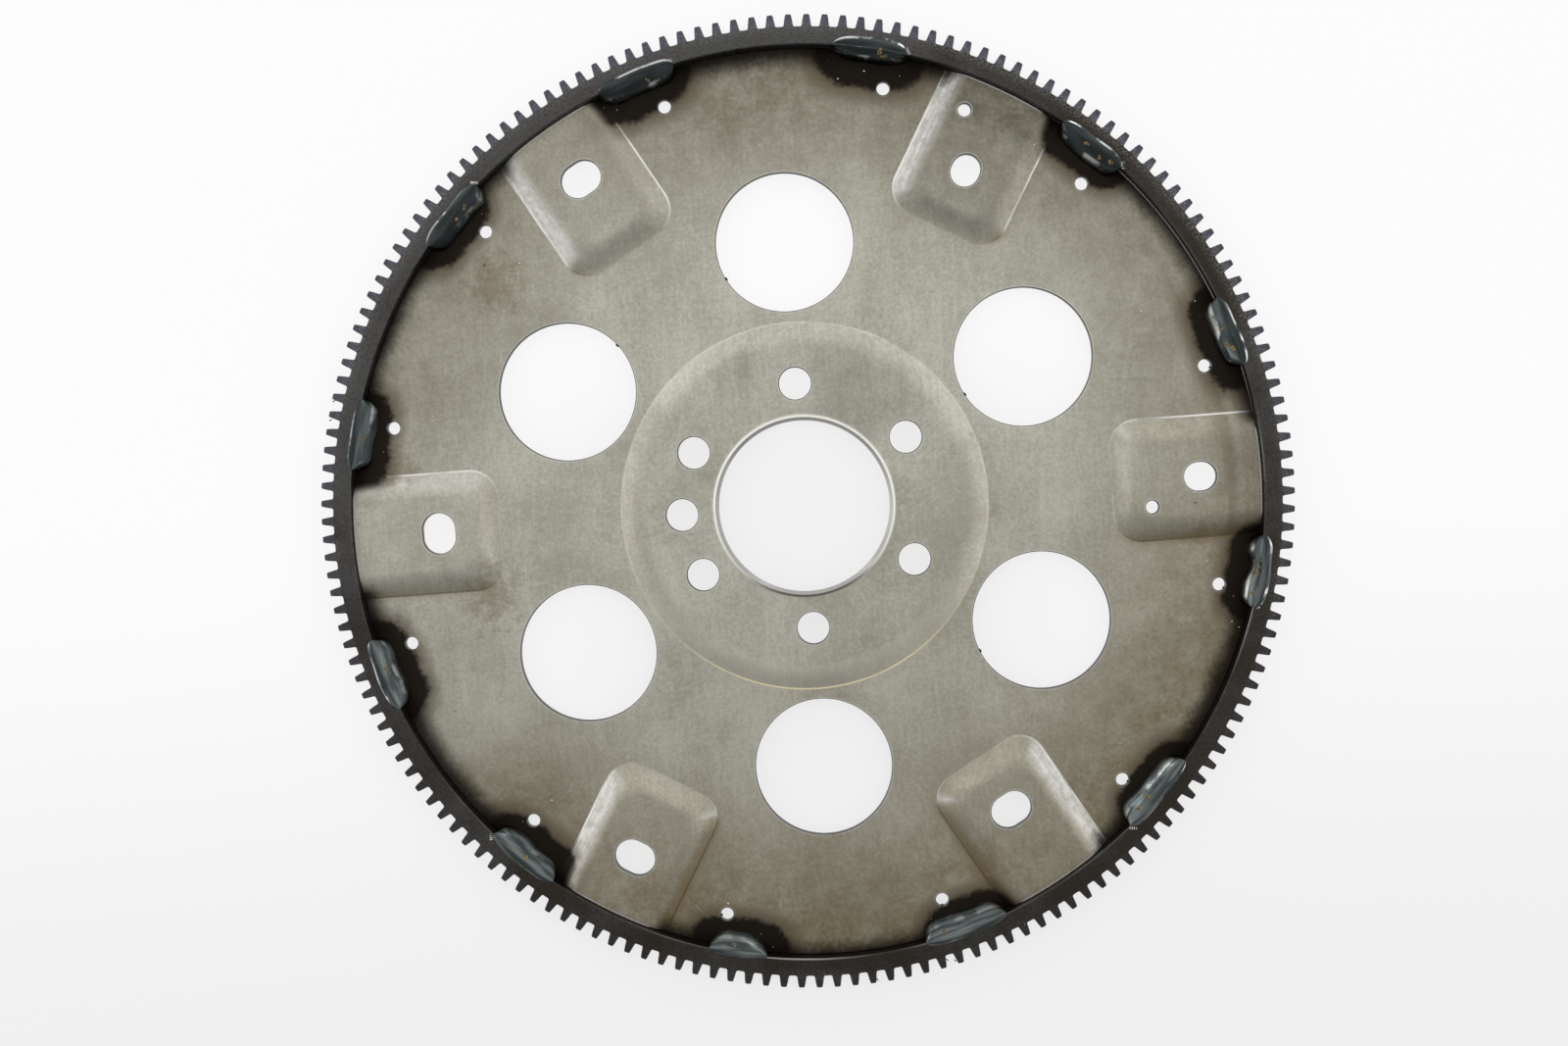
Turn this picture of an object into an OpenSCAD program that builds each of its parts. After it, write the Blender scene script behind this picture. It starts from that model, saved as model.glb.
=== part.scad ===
// Flexplate: a stamped steel disc with a starter ring gear welded round its rim.
// The disc lies in the XY plane with the crankshaft axis along Z, converter side up.
// Z is zero at the engine-side face of the ring gear, and one converter pad lies on +X.

/* [Ring gear] */
// Number of teeth round the ring
tooth_count = 168; // [160:1:190]
// Diameter of the pitch circle, at 12 teeth per inch of diameter
pitch_d = 355.6; // [340:0.1:375]
// Pressure angle of the tooth flanks in degrees
pressure_angle = 11; // [10:0.5:15]
// Height of a tooth above the pitch circle
tooth_addendum = 1.8; // [1.4:0.05:2.2]
// Depth of a tooth below the pitch circle
tooth_dedendum = 2.6; // [2:0.05:3]
// Thickness of a tooth on the pitch circle
tooth_thickness = 2.8; // [2.6:0.05:3.2]
// Bevel on the two edges of a tooth's tip
tip_bevel = 0.25; // [0.1:0.05:0.5]
// Fillet at the foot of a tooth
foot_fillet = 0.5; // [0.2:0.05:0.7]
// Solid depth of the ring under the teeth
ring_depth = 6.5; // [5:0.1:9]
// Width of the ring along the axis
ring_width = 10.4; // [9:0.1:14]
// Bevel on the ring's inner and outer edges
ring_bevel = 0.4; // [0.2:0.05:0.8]
// Turn of the ring on the disc in degrees
ring_turn = -0.3; // [-1:0.05:1]

/* [Disc] */
// Thickness of the stamped sheet
sheet_thickness = 2.6; // [2:0.1:3.5]
// Step from the ring's engine-side face up to the disc's underside
ring_overhang = 2.4; // [1:0.1:3.5]
// Clearance between the disc's rim and the ring's inner wall
rim_gap = 0.1; // [0.05:0.05:0.3]

/* [Hub] */
// Rise of the hub above the web
hub_rise = 2; // [1:0.1:3]
// Diameter at the foot of the hub's ramp
hub_foot_d = 136.4; // [130:0.1:140]
// Width of the hub's ramp
hub_ramp = 8.7; // [5:0.1:10]
// Diameter of the pilot bore on the crankshaft
pilot_d = 63.5; // [55:0.1:68]
// Bevel at the upper edge of the pilot bore
pilot_bevel = 1.2; // [0.5:0.1:1.5]
// Diameter of the circle of crankshaft bolts
crank_circle_d = 90.93; // [88:0.01:96]
// Diameter of a crankshaft bolt hole
crank_hole_d = 11.9; // [9:0.1:13]
// Diameter of the crankshaft dowel hole
dowel_hole_d = 11.9; // [8:0.1:13]

/* [Lightening holes] */
// Diameter of a lightening hole
window_d = 51; // [40:0.5:54]
// Diameter of the circle of lightening holes
window_circle_d = 195.6; // [192:0.1:200]

/* [Converter pads] */
// Width of a pad across the feet of its ramps
pad_width = 44.8; // [40:0.1:48]
// Distance from the axis to a pad's inner foot
pad_start = 114; // [110:0.5:118]
// Rise of a pad above the web
pad_rise = 3; // [1:0.1:4]
// Width of the ramp round a pad
pad_ramp = 7.5; // [5:0.1:9]
// Corner radius of a pad at the foot of its ramp
pad_corner = 11; // [10:0.5:16]
// Diameter of the larger converter bolt circle
outer_circle_d = 292.1; // [288:0.1:296]
// Diameter of the smaller converter bolt circle
inner_circle_d = 273.05; // [270:0.05:280]
// Width along the circle of the hole that places the converter
key_width = 10.5; // [9:0.1:12]
// Extra length along the radius of the hole that places the converter
key_stretch = 1.4; // [0.5:0.1:3]
// Width of an oval converter hole along the radius
oval_width = 12.2; // [9:0.1:14]
// Extra length of an oval converter hole along the circle
oval_stretch = 3; // [1:0.1:5]

/* [Tooling holes] */
// Number of small holes near the rim
tooling_count = 12; // [6:6:12]
// Diameter of a small hole
tooling_d = 4.8; // [3:0.1:5]
// Distance from the rim to the centre of a small hole
tooling_inset = 12.3; // [11.5:0.1:14]
// Sideways distance from a pad's middle line to its own small hole
gauge_side = 10; // [8:0.1:11]
// Distance from the smaller bolt circle out to the small hole beside it
gauge_out = 19.6; // [18:0.1:20]
// Distance from the larger bolt circle in to the small hole beside it
gauge_in = 18.2; // [16:0.1:19]

/* [Weld beads] */
// Number of beads that join the disc and the ring
weld_count = 12; // [6:6:12]
// Turn of a bead past the small hole beside it, in degrees
weld_turn = 2.5; // [1:0.1:3]
// Length of a bead along the rim
weld_length = 28; // [20:0.5:30]
// Reach of a bead over the disc
weld_leg = 5.7; // [3:0.1:6]
// Reach of a bead over the ring's face
weld_lap = 2.8; // [1.5:0.1:3.5]
// Height of a bead's crown over the ring's face
weld_crown = 0.6; // [0.3:0.1:1]
// Clearance between a bead's end and the foot of a pad
weld_room = 0.3; // [0.1:0.1:1]

/* [Hidden] */
$fn = 96;
// Pads, lightening holes and crankshaft bolts share one spacing
pad_count = 6;
pad_step = 360 / pad_count;
// Straight steps along one ramp
ramp_steps = 7;
// How far a cutting tool runs past the metal
overrun = 5;

pitch_r = pitch_d / 2;
tip_r = pitch_r + tooth_addendum;
root_r = pitch_r - tooth_dedendum;
base_r = pitch_r * cos(pressure_angle);
tooth_step = 360 / tooth_count;
ring_inner_r = root_r - ring_depth;

rim_r = ring_inner_r - rim_gap;
web_bottom = ring_overhang;
web_top = web_bottom + sheet_thickness;
hub_top = web_top + hub_rise;
hub_foot_r = hub_foot_d / 2;
pilot_r = pilot_d / 2;
tooling_r = rim_r - tooling_inset;
// Half the angle that a pad and the clearance beside it take at the rim
pad_half_angle = asin((pad_width / 2 + weld_room) / ring_inner_r);

// Least metal between a hole and the rim
rim_wall = 4;
outer_hole_r = min(outer_circle_d / 2, rim_r - oval_width / 2 - rim_wall);
inner_hole_r = min(inner_circle_d / 2, rim_r - oval_width / 2 - rim_wall);
gauge_in_r = outer_hole_r - gauge_in;
gauge_out_r = min(inner_hole_r + gauge_out, rim_r - tooling_d - rim_wall);

// Places along and across one bead, for its mesh
bead_stations = 10;
bead_points = 8;
// Share of the full section that is left at a bead's two ends
bead_end = 0.35;
// How full a bead stays towards the end where the welder stopped, and towards its other end
bead_blunt = 4;
bead_taper = 2.6;
// Place of a bead's crown over its leg, and the pull of the curve towards it
crown_place = 0.28;
crown_pull = 4;
// Hand work: shift along the rim, extra length and outward shift of each bead
bead_wander = [
    [1.6, -1.2, -0.2], [-1, -0.6, 0], [0, -0.2, 1.5],
    [-0.9, 1.9, 0.3], [-4, 1.1, 0], [-2.6, -0.9, -0.9],
    [0.4, 0, 0.3], [-1.2, 0.8, -0.2], [-0.6, -5, -1.3],
    [-2.2, 4.2, -0.6], [-2.4, 3.8, -0.5], [0.2, -0.6, 1.2]
];

function bead_name(i) = str("weld_bead_", i < 10 ? "0" : "", i);

// Point at radius r and angle a in degrees
function polar(r, a) = [r * cos(a), r * sin(a)];

// Involute of a pressure angle, in degrees
function involute(a) = tan(a) * 180 / PI - a;

// Half the angle that a tooth spans at radius r
function tooth_half_angle(r) =
    tooth_thickness / pitch_r * 90 / PI + involute(pressure_angle) - involute(acos(base_r / r));

// Angle that a length spans on the circle of radius r
function arc_angle(length, r) = length / r * 180 / PI;

// One flank of a tooth from its foot to its tip, as [radius, half angle] pairs
function flank() = [
    [root_r, tooth_half_angle(root_r) + arc_angle(foot_fillet, root_r)],
    [root_r + foot_fillet * 0.3, tooth_half_angle(root_r) + arc_angle(foot_fillet * 0.3, root_r)],
    [root_r + foot_fillet, tooth_half_angle(root_r + foot_fillet)],
    [pitch_r, tooth_half_angle(pitch_r)],
    [tip_r - tip_bevel, tooth_half_angle(tip_r - tip_bevel)],
    [tip_r, tooth_half_angle(tip_r) - arc_angle(tip_bevel, tip_r)]
];

// Outline of the whole toothed ring
function teeth_outline() = [
    for (k = [0:tooth_count - 1])
        let (side = flank(), last = len(side) - 1)
        for (j = [0:2 * last + 1])
            let (p = j <= last ? side[j] : side[2 * last + 1 - j], sign = j <= last ? -1 : 1)
            polar(p[0], k * tooth_step + sign * p[1])
];

// Height of a stamped ramp at share u of its width: a crisp foot and a soft shoulder
function ramp_height(rise, u) = rise * sin(90 * u);

// Ramp from its foot at x to its shoulder, which lies at x + run
function ramp(x, run, rise) = [
    for (i = [0:ramp_steps])
        let (u = i / ramp_steps)
        [x + run * u, ramp_height(rise, u)]
];

function reversed(list) = [for (i = [len(list) - 1:-1:0]) list[i]];

// Section of the flat web and the raised hub, turned about the axis
module disc_section() {
    top = ramp(hub_foot_r, -hub_ramp, hub_rise);
    upper = [for (p = top) [p[0], p[1] + web_top]];
    lower = [for (p = reversed(top)) [p[0], p[1] + web_bottom]];
    far = rim_r + overrun;
    bevel = [[pilot_r + pilot_bevel, hub_top], [pilot_r, hub_top - pilot_bevel]];
    bore = concat(bevel, [[pilot_r, hub_top - sheet_thickness]]);
    polygon(concat([[far, web_bottom], [far, web_top]], upper, bore, lower));
}

// Outer form of one pad on +X, with straight sides down to the given depth
module pad_form(depth) {
    half = pad_width / 2;
    straight = half - pad_corner;
    shoulder = pad_start + pad_corner;
    far = rim_r + overrun;
    side = ramp(-half, pad_ramp, pad_rise);
    across = concat([[-half, -depth]], side, [for (p = reversed(side)) [-p[0], p[1]]], [[half, -depth]]);
    end_ramp = ramp(pad_start, pad_ramp, pad_rise);
    end = concat([[pad_start, -depth]], end_ramp, [[shoulder, pad_rise], [shoulder, -depth]]);
    corner_ramp = ramp(pad_corner, -pad_ramp, pad_rise);
    corner = concat([[0, -depth], [pad_corner, -depth]], corner_ramp, [[0, pad_rise]]);
    translate([shoulder, 0, 0]) rotate([90, 0, 90])
        linear_extrude(far - shoulder) polygon(across);
    translate([0, straight, 0]) rotate([90, 0, 0])
        linear_extrude(2 * straight) polygon(end);
    translate([shoulder, straight, 0]) rotate([0, 0, 90])
        rotate_extrude(angle = 90) polygon(corner);
    translate([shoulder, -straight, 0]) rotate([0, 0, 180])
        rotate_extrude(angle = 90) polygon(corner);
}

// Round hole through the sheet at radius r and angle a
module drill(r, a, d) {
    rotate([0, 0, a]) translate([r, 0, -overrun])
        cylinder(d = d, h = ring_width + 2 * overrun);
}

// Oval hole through the sheet at radius r and angle a, with its long way at lean degrees to the radius
module oval(r, a, lean, width, stretch) {
    depth = ring_width + 2 * overrun;
    rotate([0, 0, a]) translate([r, 0, -overrun]) rotate([0, 0, lean]) {
        for (side = [-1, 1]) {
            translate([side * stretch / 2, 0, 0])
                cylinder(d = width, h = depth);
        }
        translate([-stretch / 2, -width / 2, 0])
            cube([stretch, width, depth]);
    }
}

// Crankshaft bolts between the pads, and the dowel hole on the far side
module crank_holes() {
    for (k = [0:pad_count - 1]) {
        drill(crank_circle_d / 2, (k + 0.5) * pad_step, crank_hole_d);
    }
    drill(crank_circle_d / 2, 180, dowel_hole_d);
}

// Pads take the larger and the smaller bolt circle by turns
// The first hole of each circle is close along the circle, and the others are wide along it
module converter_holes() {
    oval(outer_hole_r, 0, 0, key_width, key_stretch);
    oval(inner_hole_r, pad_step, 0, key_width, key_stretch);
    for (k = [1:pad_count / 2 - 1]) {
        oval(outer_hole_r, 2 * k * pad_step, 90, oval_width, oval_stretch);
        oval(inner_hole_r, (2 * k + 1) * pad_step, 90, oval_width, oval_stretch);
    }
}

// Small holes beside the beads, and one beside the first converter hole of each circle
module tooling_holes() {
    tooling_step = 360 / tooling_count;
    for (k = [0:tooling_count - 1]) {
        drill(tooling_r, pad_step / 4 + k * tooling_step, tooling_d);
    }
    translate([gauge_in_r, -gauge_side, 0])
        drill(0, 0, tooling_d);
    rotate([0, 0, pad_step]) translate([gauge_out_r, gauge_side, 0])
        drill(0, 0, tooling_d);
}

// Sheet-metal disc: flat web, raised hub, raised pads that run out to the rim
module stamped_disc() {
    color([0.61, 0.59, 0.53])
    difference() {
        intersection() {
            union() {
                rotate_extrude() disc_section();
                for (k = [0:pad_count - 1]) {
                    rotate([0, 0, k * pad_step]) translate([0, 0, web_top])
                        pad_form(sheet_thickness / 2);
                }
            }
            cylinder(r = rim_r, h = ring_width + overrun);
        }
        for (k = [0:pad_count - 1]) {
            rotate([0, 0, k * pad_step]) translate([0, 0, web_bottom])
                pad_form(ring_overhang + overrun);
            drill(window_circle_d / 2, (k + 0.5) * pad_step, window_d);
        }
        crank_holes();
        converter_holes();
        tooling_holes();
    }
}

// Section of the ring with a bevel on each of its four edges
module ring_section() {
    b = ring_bevel;
    polygon([
        [ring_inner_r, b], [ring_inner_r + b, 0], [tip_r - b, 0], [tip_r, b],
        [tip_r, ring_width - b], [tip_r - b, ring_width],
        [ring_inner_r + b, ring_width], [ring_inner_r, ring_width - b]
    ]);
}

// Starter ring gear with straight teeth
module ring_gear() {
    color([0.17, 0.16, 0.17])
    intersection() {
        rotate([0, 0, ring_turn]) linear_extrude(ring_width) polygon(teeth_outline());
        rotate_extrude() ring_section();
    }
}

// What the hand work changes on bead i
function wander(i) = bead_wander[(i - 1) % len(bead_wander)];

// Share of the full section at u, which runs from -1 to 1 along a bead
function bead_share(u) =
    bead_end + (1 - bead_end) * sqrt(1 - pow(abs(u), u < 0 ? bead_blunt : bead_taper));

// Open surface of a bead at share s, moved outwards by out, from the ring's face over the crown to the disc
function bead_curve(s, out) = [
    for (j = [0:bead_points])
        let (
            v = j / bead_points,
            lap = (weld_lap + out) * s,
            leg = (weld_leg - out) * s,
            start = [ring_inner_r + lap, ring_width],
            crown = [ring_inner_r - leg * crown_place, ring_width + crown_pull * weld_crown * s],
            toe = [ring_inner_r - leg, web_top]
        )
        start * pow(1 - v, 2) + crown * 2 * v * (1 - v) + toe * v * v
];

// Whole outline of a bead: its seat on the disc and the ring closes the curve
function bead_outline(s, out) =
    concat(bead_curve(s, out), [[ring_inner_r, web_top], [ring_inner_r, ring_width]]);

// One bead in the corner between the disc and the ring, with round ends
module weld_bead(i) {
    hand = wander(i);
    place = pad_step / 4 + weld_turn + (i - 1) * 360 / weld_count + arc_angle(hand[0], ring_inner_r);
    reach = arc_angle((weld_length + hand[1]) / 2, ring_inner_r);
    sector = floor(place / pad_step) * pad_step;
    first_end = max(place - reach, sector + pad_half_angle);
    last_end = min(place + reach, sector + pad_step - pad_half_angle);
    middle = (first_end + last_end) / 2;
    half_angle = (last_end - first_end) / 2;
    ring_size = len(bead_outline(1, 0));
    rings = [
        for (k = [0:bead_stations])
            let (u = -cos(180 * k / bead_stations), a = middle + half_angle * u)
            [for (p = bead_outline(bead_share(u), hand[2])) concat(polar(p[0], a), p[1])]
    ];
    points = [for (ring = rings) for (p = ring) p];
    skin = [
        for (k = [0:bead_stations - 1])
            for (j = [0:ring_size - 1])
                let (a = k * ring_size + j, b = k * ring_size + (j + 1) % ring_size)
                [a, b, b + ring_size, a + ring_size]
    ];
    first = [for (j = [ring_size - 1:-1:0]) j];
    last = [for (j = [0:ring_size - 1]) bead_stations * ring_size + j];
    color([0.27, 0.30, 0.33])
        polyhedron(points, concat(skin, [first, last]), convexity = 4);
}

stamped_disc();
ring_gear();
for (i = [1:weld_count]) {
    weld_bead(i);
}
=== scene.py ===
# %% [markdown]
# # A flexplate in bare steel
# The real object is a stamped steel disc with a starter ring gear welded round its rim. The CAD frame
# already holds every piece at its true size. This lesson dresses that frame: it presses a finer disc,
# cuts the gear teeth, lays the weld beads, scatters the spatter and then gives each metal its own finish.

import math
import random

import bmesh
import bpy
import numpy as np
from mathutils import Matrix, Quaternion, Vector
from mathutils.geometry import delaunay_2d_cdt


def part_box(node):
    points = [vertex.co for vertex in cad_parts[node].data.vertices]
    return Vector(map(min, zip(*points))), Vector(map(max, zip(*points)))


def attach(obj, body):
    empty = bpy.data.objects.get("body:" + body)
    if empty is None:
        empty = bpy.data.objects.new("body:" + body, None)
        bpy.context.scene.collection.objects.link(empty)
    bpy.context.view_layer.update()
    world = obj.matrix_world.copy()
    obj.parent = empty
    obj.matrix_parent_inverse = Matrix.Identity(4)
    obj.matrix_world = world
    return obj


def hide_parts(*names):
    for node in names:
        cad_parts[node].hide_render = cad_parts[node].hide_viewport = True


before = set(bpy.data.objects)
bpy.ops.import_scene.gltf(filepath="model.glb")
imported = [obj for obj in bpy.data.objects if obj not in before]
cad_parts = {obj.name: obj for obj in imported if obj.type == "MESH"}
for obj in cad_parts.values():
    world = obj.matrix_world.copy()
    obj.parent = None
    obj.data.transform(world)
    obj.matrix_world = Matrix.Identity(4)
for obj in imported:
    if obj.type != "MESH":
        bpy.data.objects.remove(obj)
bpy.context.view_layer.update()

# %% [markdown]
# ## Sizes
# Blender works in metres, but a machine drawing is easier to read in millimetres. All sizes are therefore
# written in millimetres and turned into metres by one factor when a mesh is made. They repeat the drawing
# of the part, so that every piece made here lands on the solid that it stands for.

# %% Sizes of the disc, the ring and the beads, in millimetres
MM = 0.001
WEB_TOP = 5.0
SHEET = 2.6
RIM_R = 168.6
HUB_RISE, HUB_FOOT_R, HUB_RAMP = 2.0, 68.2, 8.7
PILOT_R, PILOT_BEVEL = 31.75, 1.2
LIP_R, LIP_RISE, LIP_SPREAD = 32.95, 0.34, 0.62
CRANK_R, CRANK_HOLE_R = 45.465, 5.95
WINDOW_R, WINDOW_HOLE_R = 97.8, 25.5
PAD_COUNT = 6
PAD_STEP = math.tau / PAD_COUNT
PAD_START, PAD_WIDTH, PAD_RISE = 114.3, 44.8, 3.0
PAD_RAMP, PAD_END_RAMP, PAD_CORNER, PAD_TOP_CORNER = 9.0, 9.0, 10.0, 8.0
OUTER_CIRCLE_R, INNER_CIRCLE_R = 146.05, 136.525
KEY_HOLE_R, KEY_STRETCH, OVAL_HOLE_R, OVAL_STRETCH = 5.25, 1.4, 6.1, 3.0
TOOLING_COUNT, TOOLING_HOLE_R, TOOLING_R = 12, 2.4, 156.3
GAUGE_SIDE, GAUGE_IN, GAUGE_OUT = 10.0, 18.2, 19.6

TOOTH_COUNT, PITCH_R, PRESSURE_ANGLE = 168, 177.8, math.radians(11)
TOOTH_ADDENDUM, TOOTH_DEDENDUM, TOOTH_THICKNESS = 1.8, 2.6, 2.8
TIP_BEVEL, FOOT_FILLET = 0.25, 0.5
RING_DEPTH, RING_WIDTH, RING_BEVEL = 6.5, 10.4, 0.4
RING_TURN = math.radians(-0.3)
TIP_SHORTER = 0.002
TIP_R = PITCH_R + TOOTH_ADDENDUM - TIP_SHORTER
ROOT_R = PITCH_R - TOOTH_DEDENDUM
RING_INNER_R = ROOT_R - RING_DEPTH

BEAD_COUNT = 12
BEAD_STEP = math.tau / BEAD_COUNT
BEAD_TURN = PAD_STEP / 4 + math.radians(2.5)
BEAD_LENGTH, BEAD_LEG, BEAD_LAP, BEAD_CROWN = 28.0, 5.7, 2.8, 0.6
# The shift of each bead along the rim, its extra length, and its shift outwards.
BEAD_WANDER = (
    (1.6, -1.2, -0.2), (-1, -0.6, 0), (0, -0.2, 1.5), (-0.9, 1.9, 0.3), (-4, 1.1, 0), (-2.6, -0.9, -0.9),
    (0.4, 0, 0.3), (-1.2, 0.8, -0.2), (-0.6, -5, -1.3), (-2.2, 4.2, -0.6), (-2.4, 3.8, -0.5),
    (0.2, -0.6, 1.2),
)

ring_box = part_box("ring_gear")
print("ring tips at", round(TIP_R, 2), "mm; the CAD ring reaches", round(1000 * ring_box[1].x, 2), "mm")

# %% [markdown]
# ## Camera
# The photograph looks almost straight down, from about two centimetres off the axis, so the holes far
# from the middle show a little of their walls. Instead of turning the camera by hand, the script gives it
# a place, a point to aim at and the direction that is up in the picture, and builds the three axes of its
# matrix from those.

# %% Aim the camera
CAMERA_PLACE = Vector((11.8, 16.7, 624.6)) * MM
CAMERA_AIM = Vector((-8.0, -5.8, 5.0)) * MM
PICTURE_TURN = math.radians(-4.35)
FOCAL_PIXELS, PICTURE_WIDTH = 1700, 1600

picture_up = Vector((-math.sin(PICTURE_TURN), math.cos(PICTURE_TURN), 0))
forward = (CAMERA_AIM - CAMERA_PLACE).normalized()
right = forward.cross(picture_up).normalized()
upward = right.cross(forward)
camera_data = bpy.data.cameras.new("camera")
camera_data.sensor_width = 36
camera_data.lens = camera_data.sensor_width * FOCAL_PIXELS / PICTURE_WIDTH
camera_data.clip_start = 0.01
camera = bpy.data.objects.new("camera", camera_data)
axes = Matrix((right, upward, -forward)).transposed()
camera.matrix_world = Matrix.Translation(CAMERA_PLACE) @ axes.to_4x4()
bpy.context.scene.collection.objects.link(camera)
bpy.context.scene.camera = camera
print("camera lens in mm:", round(camera_data.lens, 2))

# %% [markdown]
# ## Node helpers
# Shader trees are long when every socket is wired by hand. Small helpers keep them short. The first two
# set a socket and add a node. The others do arithmetic, soft steps and noise, which is all that a mask
# needs.


# %% Helpers that add and wire nodes
def put(tree, socket, value):
    """Sets a socket to a value, or wires it to another socket."""
    if isinstance(value, bpy.types.NodeSocket):
        tree.links.new(value, socket)
    else:
        socket.default_value = value


def add(tree, kind, inputs=None, **settings):
    """Adds a node. Its inputs are given by name or number, as values or as wires."""
    node = tree.nodes.new(kind)
    for name, value in settings.items():
        setattr(node, name, value)
    for key, value in (inputs or {}).items():
        put(tree, node.inputs[key], value)
    return node


def maths(tree, operation, *values):
    """One Math node, and its result."""
    return add(tree, "ShaderNodeMath", dict(enumerate(values)), operation=operation).outputs[0]


def times(tree, *values):
    """The product of several values."""
    product = values[0]
    for value in values[1:]:
        product = maths(tree, "MULTIPLY", product, value)
    return product


def vectors(tree, operation, *values):
    """One Vector Math node, and its result, which is a number for a product, a length or a distance."""
    node = add(tree, "ShaderNodeVectorMath", dict(enumerate(values)), operation=operation)
    return node.outputs["Value" if operation in ("DOT_PRODUCT", "LENGTH", "DISTANCE") else "Vector"]


def towards(tree, place, azimuth):
    """Millimetres that a place lies from the axis towards an azimuth, which is in degrees."""
    turn = math.radians(azimuth)
    return vectors(tree, "DOT_PRODUCT", place, Vector((math.cos(turn), math.sin(turn), 0)) / MM)


def smooth(tree, value, low, high, start=0.0, end=1.0):
    """A soft step: start below low, end above high."""
    inputs = {"Value": value, "From Min": low, "From Max": high, "To Min": start, "To Max": end}
    return add(tree, "ShaderNodeMapRange", inputs, interpolation_type="SMOOTHSTEP").outputs[0]


def between(tree, value, low, start, end, high):
    """One from start to end, and a soft fall to nothing at low and at high."""
    return times(tree, smooth(tree, value, low, start), smooth(tree, value, end, high, 1, 0))


def noise(tree, place, scale, detail=3.0, roughness=0.55, stretch=(1, 1, 1), turn=0.0, warp=0.0):
    """Noise over a place, finer along the axes with a large stretch."""
    mapping = {"Vector": place, "Scale": stretch, "Rotation": (0, 0, turn)}
    moved = add(tree, "ShaderNodeMapping", mapping).outputs[0]
    inputs = {"Vector": moved, "Scale": scale, "Detail": detail, "Roughness": roughness, "Distortion": warp}
    return add(tree, "ShaderNodeTexNoise", inputs).outputs[0]


print("wiring helpers ready")

# %% [markdown]
# A finish is a list of coats, each with a mask, a share and a tint, laid one over the other like real
# stains. The next helpers lay such coats, open a node group or a material, and hand the finished colour
# to the shader.

# %% Helpers for colours, groups and materials
FIRST_COLOUR, SECOND_COLOUR, MIXED_COLOUR = 6, 7, 2


def blend(tree, share, first, second):
    """Mixes two colours by a share."""
    wired = [c if isinstance(c, bpy.types.NodeSocket) else (*c, 1.0) for c in (first, second)]
    inputs = {0: share, FIRST_COLOUR: wired[0], SECOND_COLOUR: wired[1]}
    return add(tree, "ShaderNodeMix", inputs, data_type="RGBA").outputs[MIXED_COLOUR]


def coat(tree, colour, *layers):
    """Lays tints over a colour, one after the other. A layer is (mask, share, tint)."""
    for mask, share, tint in layers:
        colour = blend(tree, times(tree, mask, share), colour, tint)
    return colour


def new_group(name, inputs, outputs):
    """A shader node group. An input is (name, kind, value), and an output is the name of a number."""
    tree = bpy.data.node_groups.new(name, "ShaderNodeTree")
    for label, kind, value in inputs:
        socket = tree.interface.new_socket(label, in_out="INPUT", socket_type="NodeSocket" + kind)
        if value is not None:
            socket.default_value = value
    for label in outputs:
        tree.interface.new_socket(label, in_out="OUTPUT", socket_type="NodeSocketFloat")
    return tree, tree.nodes.new("NodeGroupInput").outputs, tree.nodes.new("NodeGroupOutput").inputs


def use_group(tree, group, **values):
    """Places a group in a tree, sets its inputs by name and returns its outputs."""
    return add(tree, "ShaderNodeGroup", values, node_tree=group).outputs


def new_material(name):
    """An empty material with its tree, its shader and its Object coordinates."""
    material = bpy.data.materials.new(name)
    material.use_nodes = True
    tree = material.node_tree
    place = add(tree, "ShaderNodeTexCoord").outputs["Object"]
    return material, tree, tree.nodes["Principled BSDF"], place


def paint(tree, shader, colour, roughness, metallic=1.0):
    """Hands a colour, a roughness and a share of metal to a shader."""
    inputs = {"Base Color": colour, "Roughness": roughness, "Metallic": metallic}
    for name, value in inputs.items():
        put(tree, shader.inputs[name], value)


def emboss(tree, shader, height, strength, depth):
    """Tilts the normals of a shader by a bump. The depth is in millimetres."""
    bump = {"Strength": strength, "Distance": depth * MM, "Height": height}
    put(tree, shader.inputs["Normal"], add(tree, "ShaderNodeBump", bump).outputs[0])


print("colour helpers ready")

# %% [markdown]
# ## Light
# Bare metal is a mirror, sharp or blurred, so its shading is a picture of the room. In the photograph the
# ramps that face up the picture are a little brighter than the flat sheet, those that face left or right
# are much brighter, and those that face down it are dark. So the room was bright behind the part, dark
# where the photographer stood, and had a window on either side. The world copies that: one soft step from
# a dark side to a bright side, a darker horizon, and two wide soft windows. The camera itself sees an
# even pale backdrop instead.

# %% World
BRIGHT_SIDE = 92
ROOM, SIDE_DARK, SIDE_BRIGHT, HORIZON = 0.72, 0.58, 1.42, 0.74
WINDOWS, WINDOW_GAIN = ((-8, 34), (178, 25)), 1.15
BACKDROP = 0.93
WHITE = (1, 1, 1, 1)


def sky_way(azimuth, elevation):
    """Direction to a place in the sky, with both angles in degrees."""
    turn, low = math.radians(azimuth), math.radians(elevation)
    return Vector((math.cos(low) * math.cos(turn), math.cos(low) * math.sin(turn), math.sin(low)))


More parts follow.
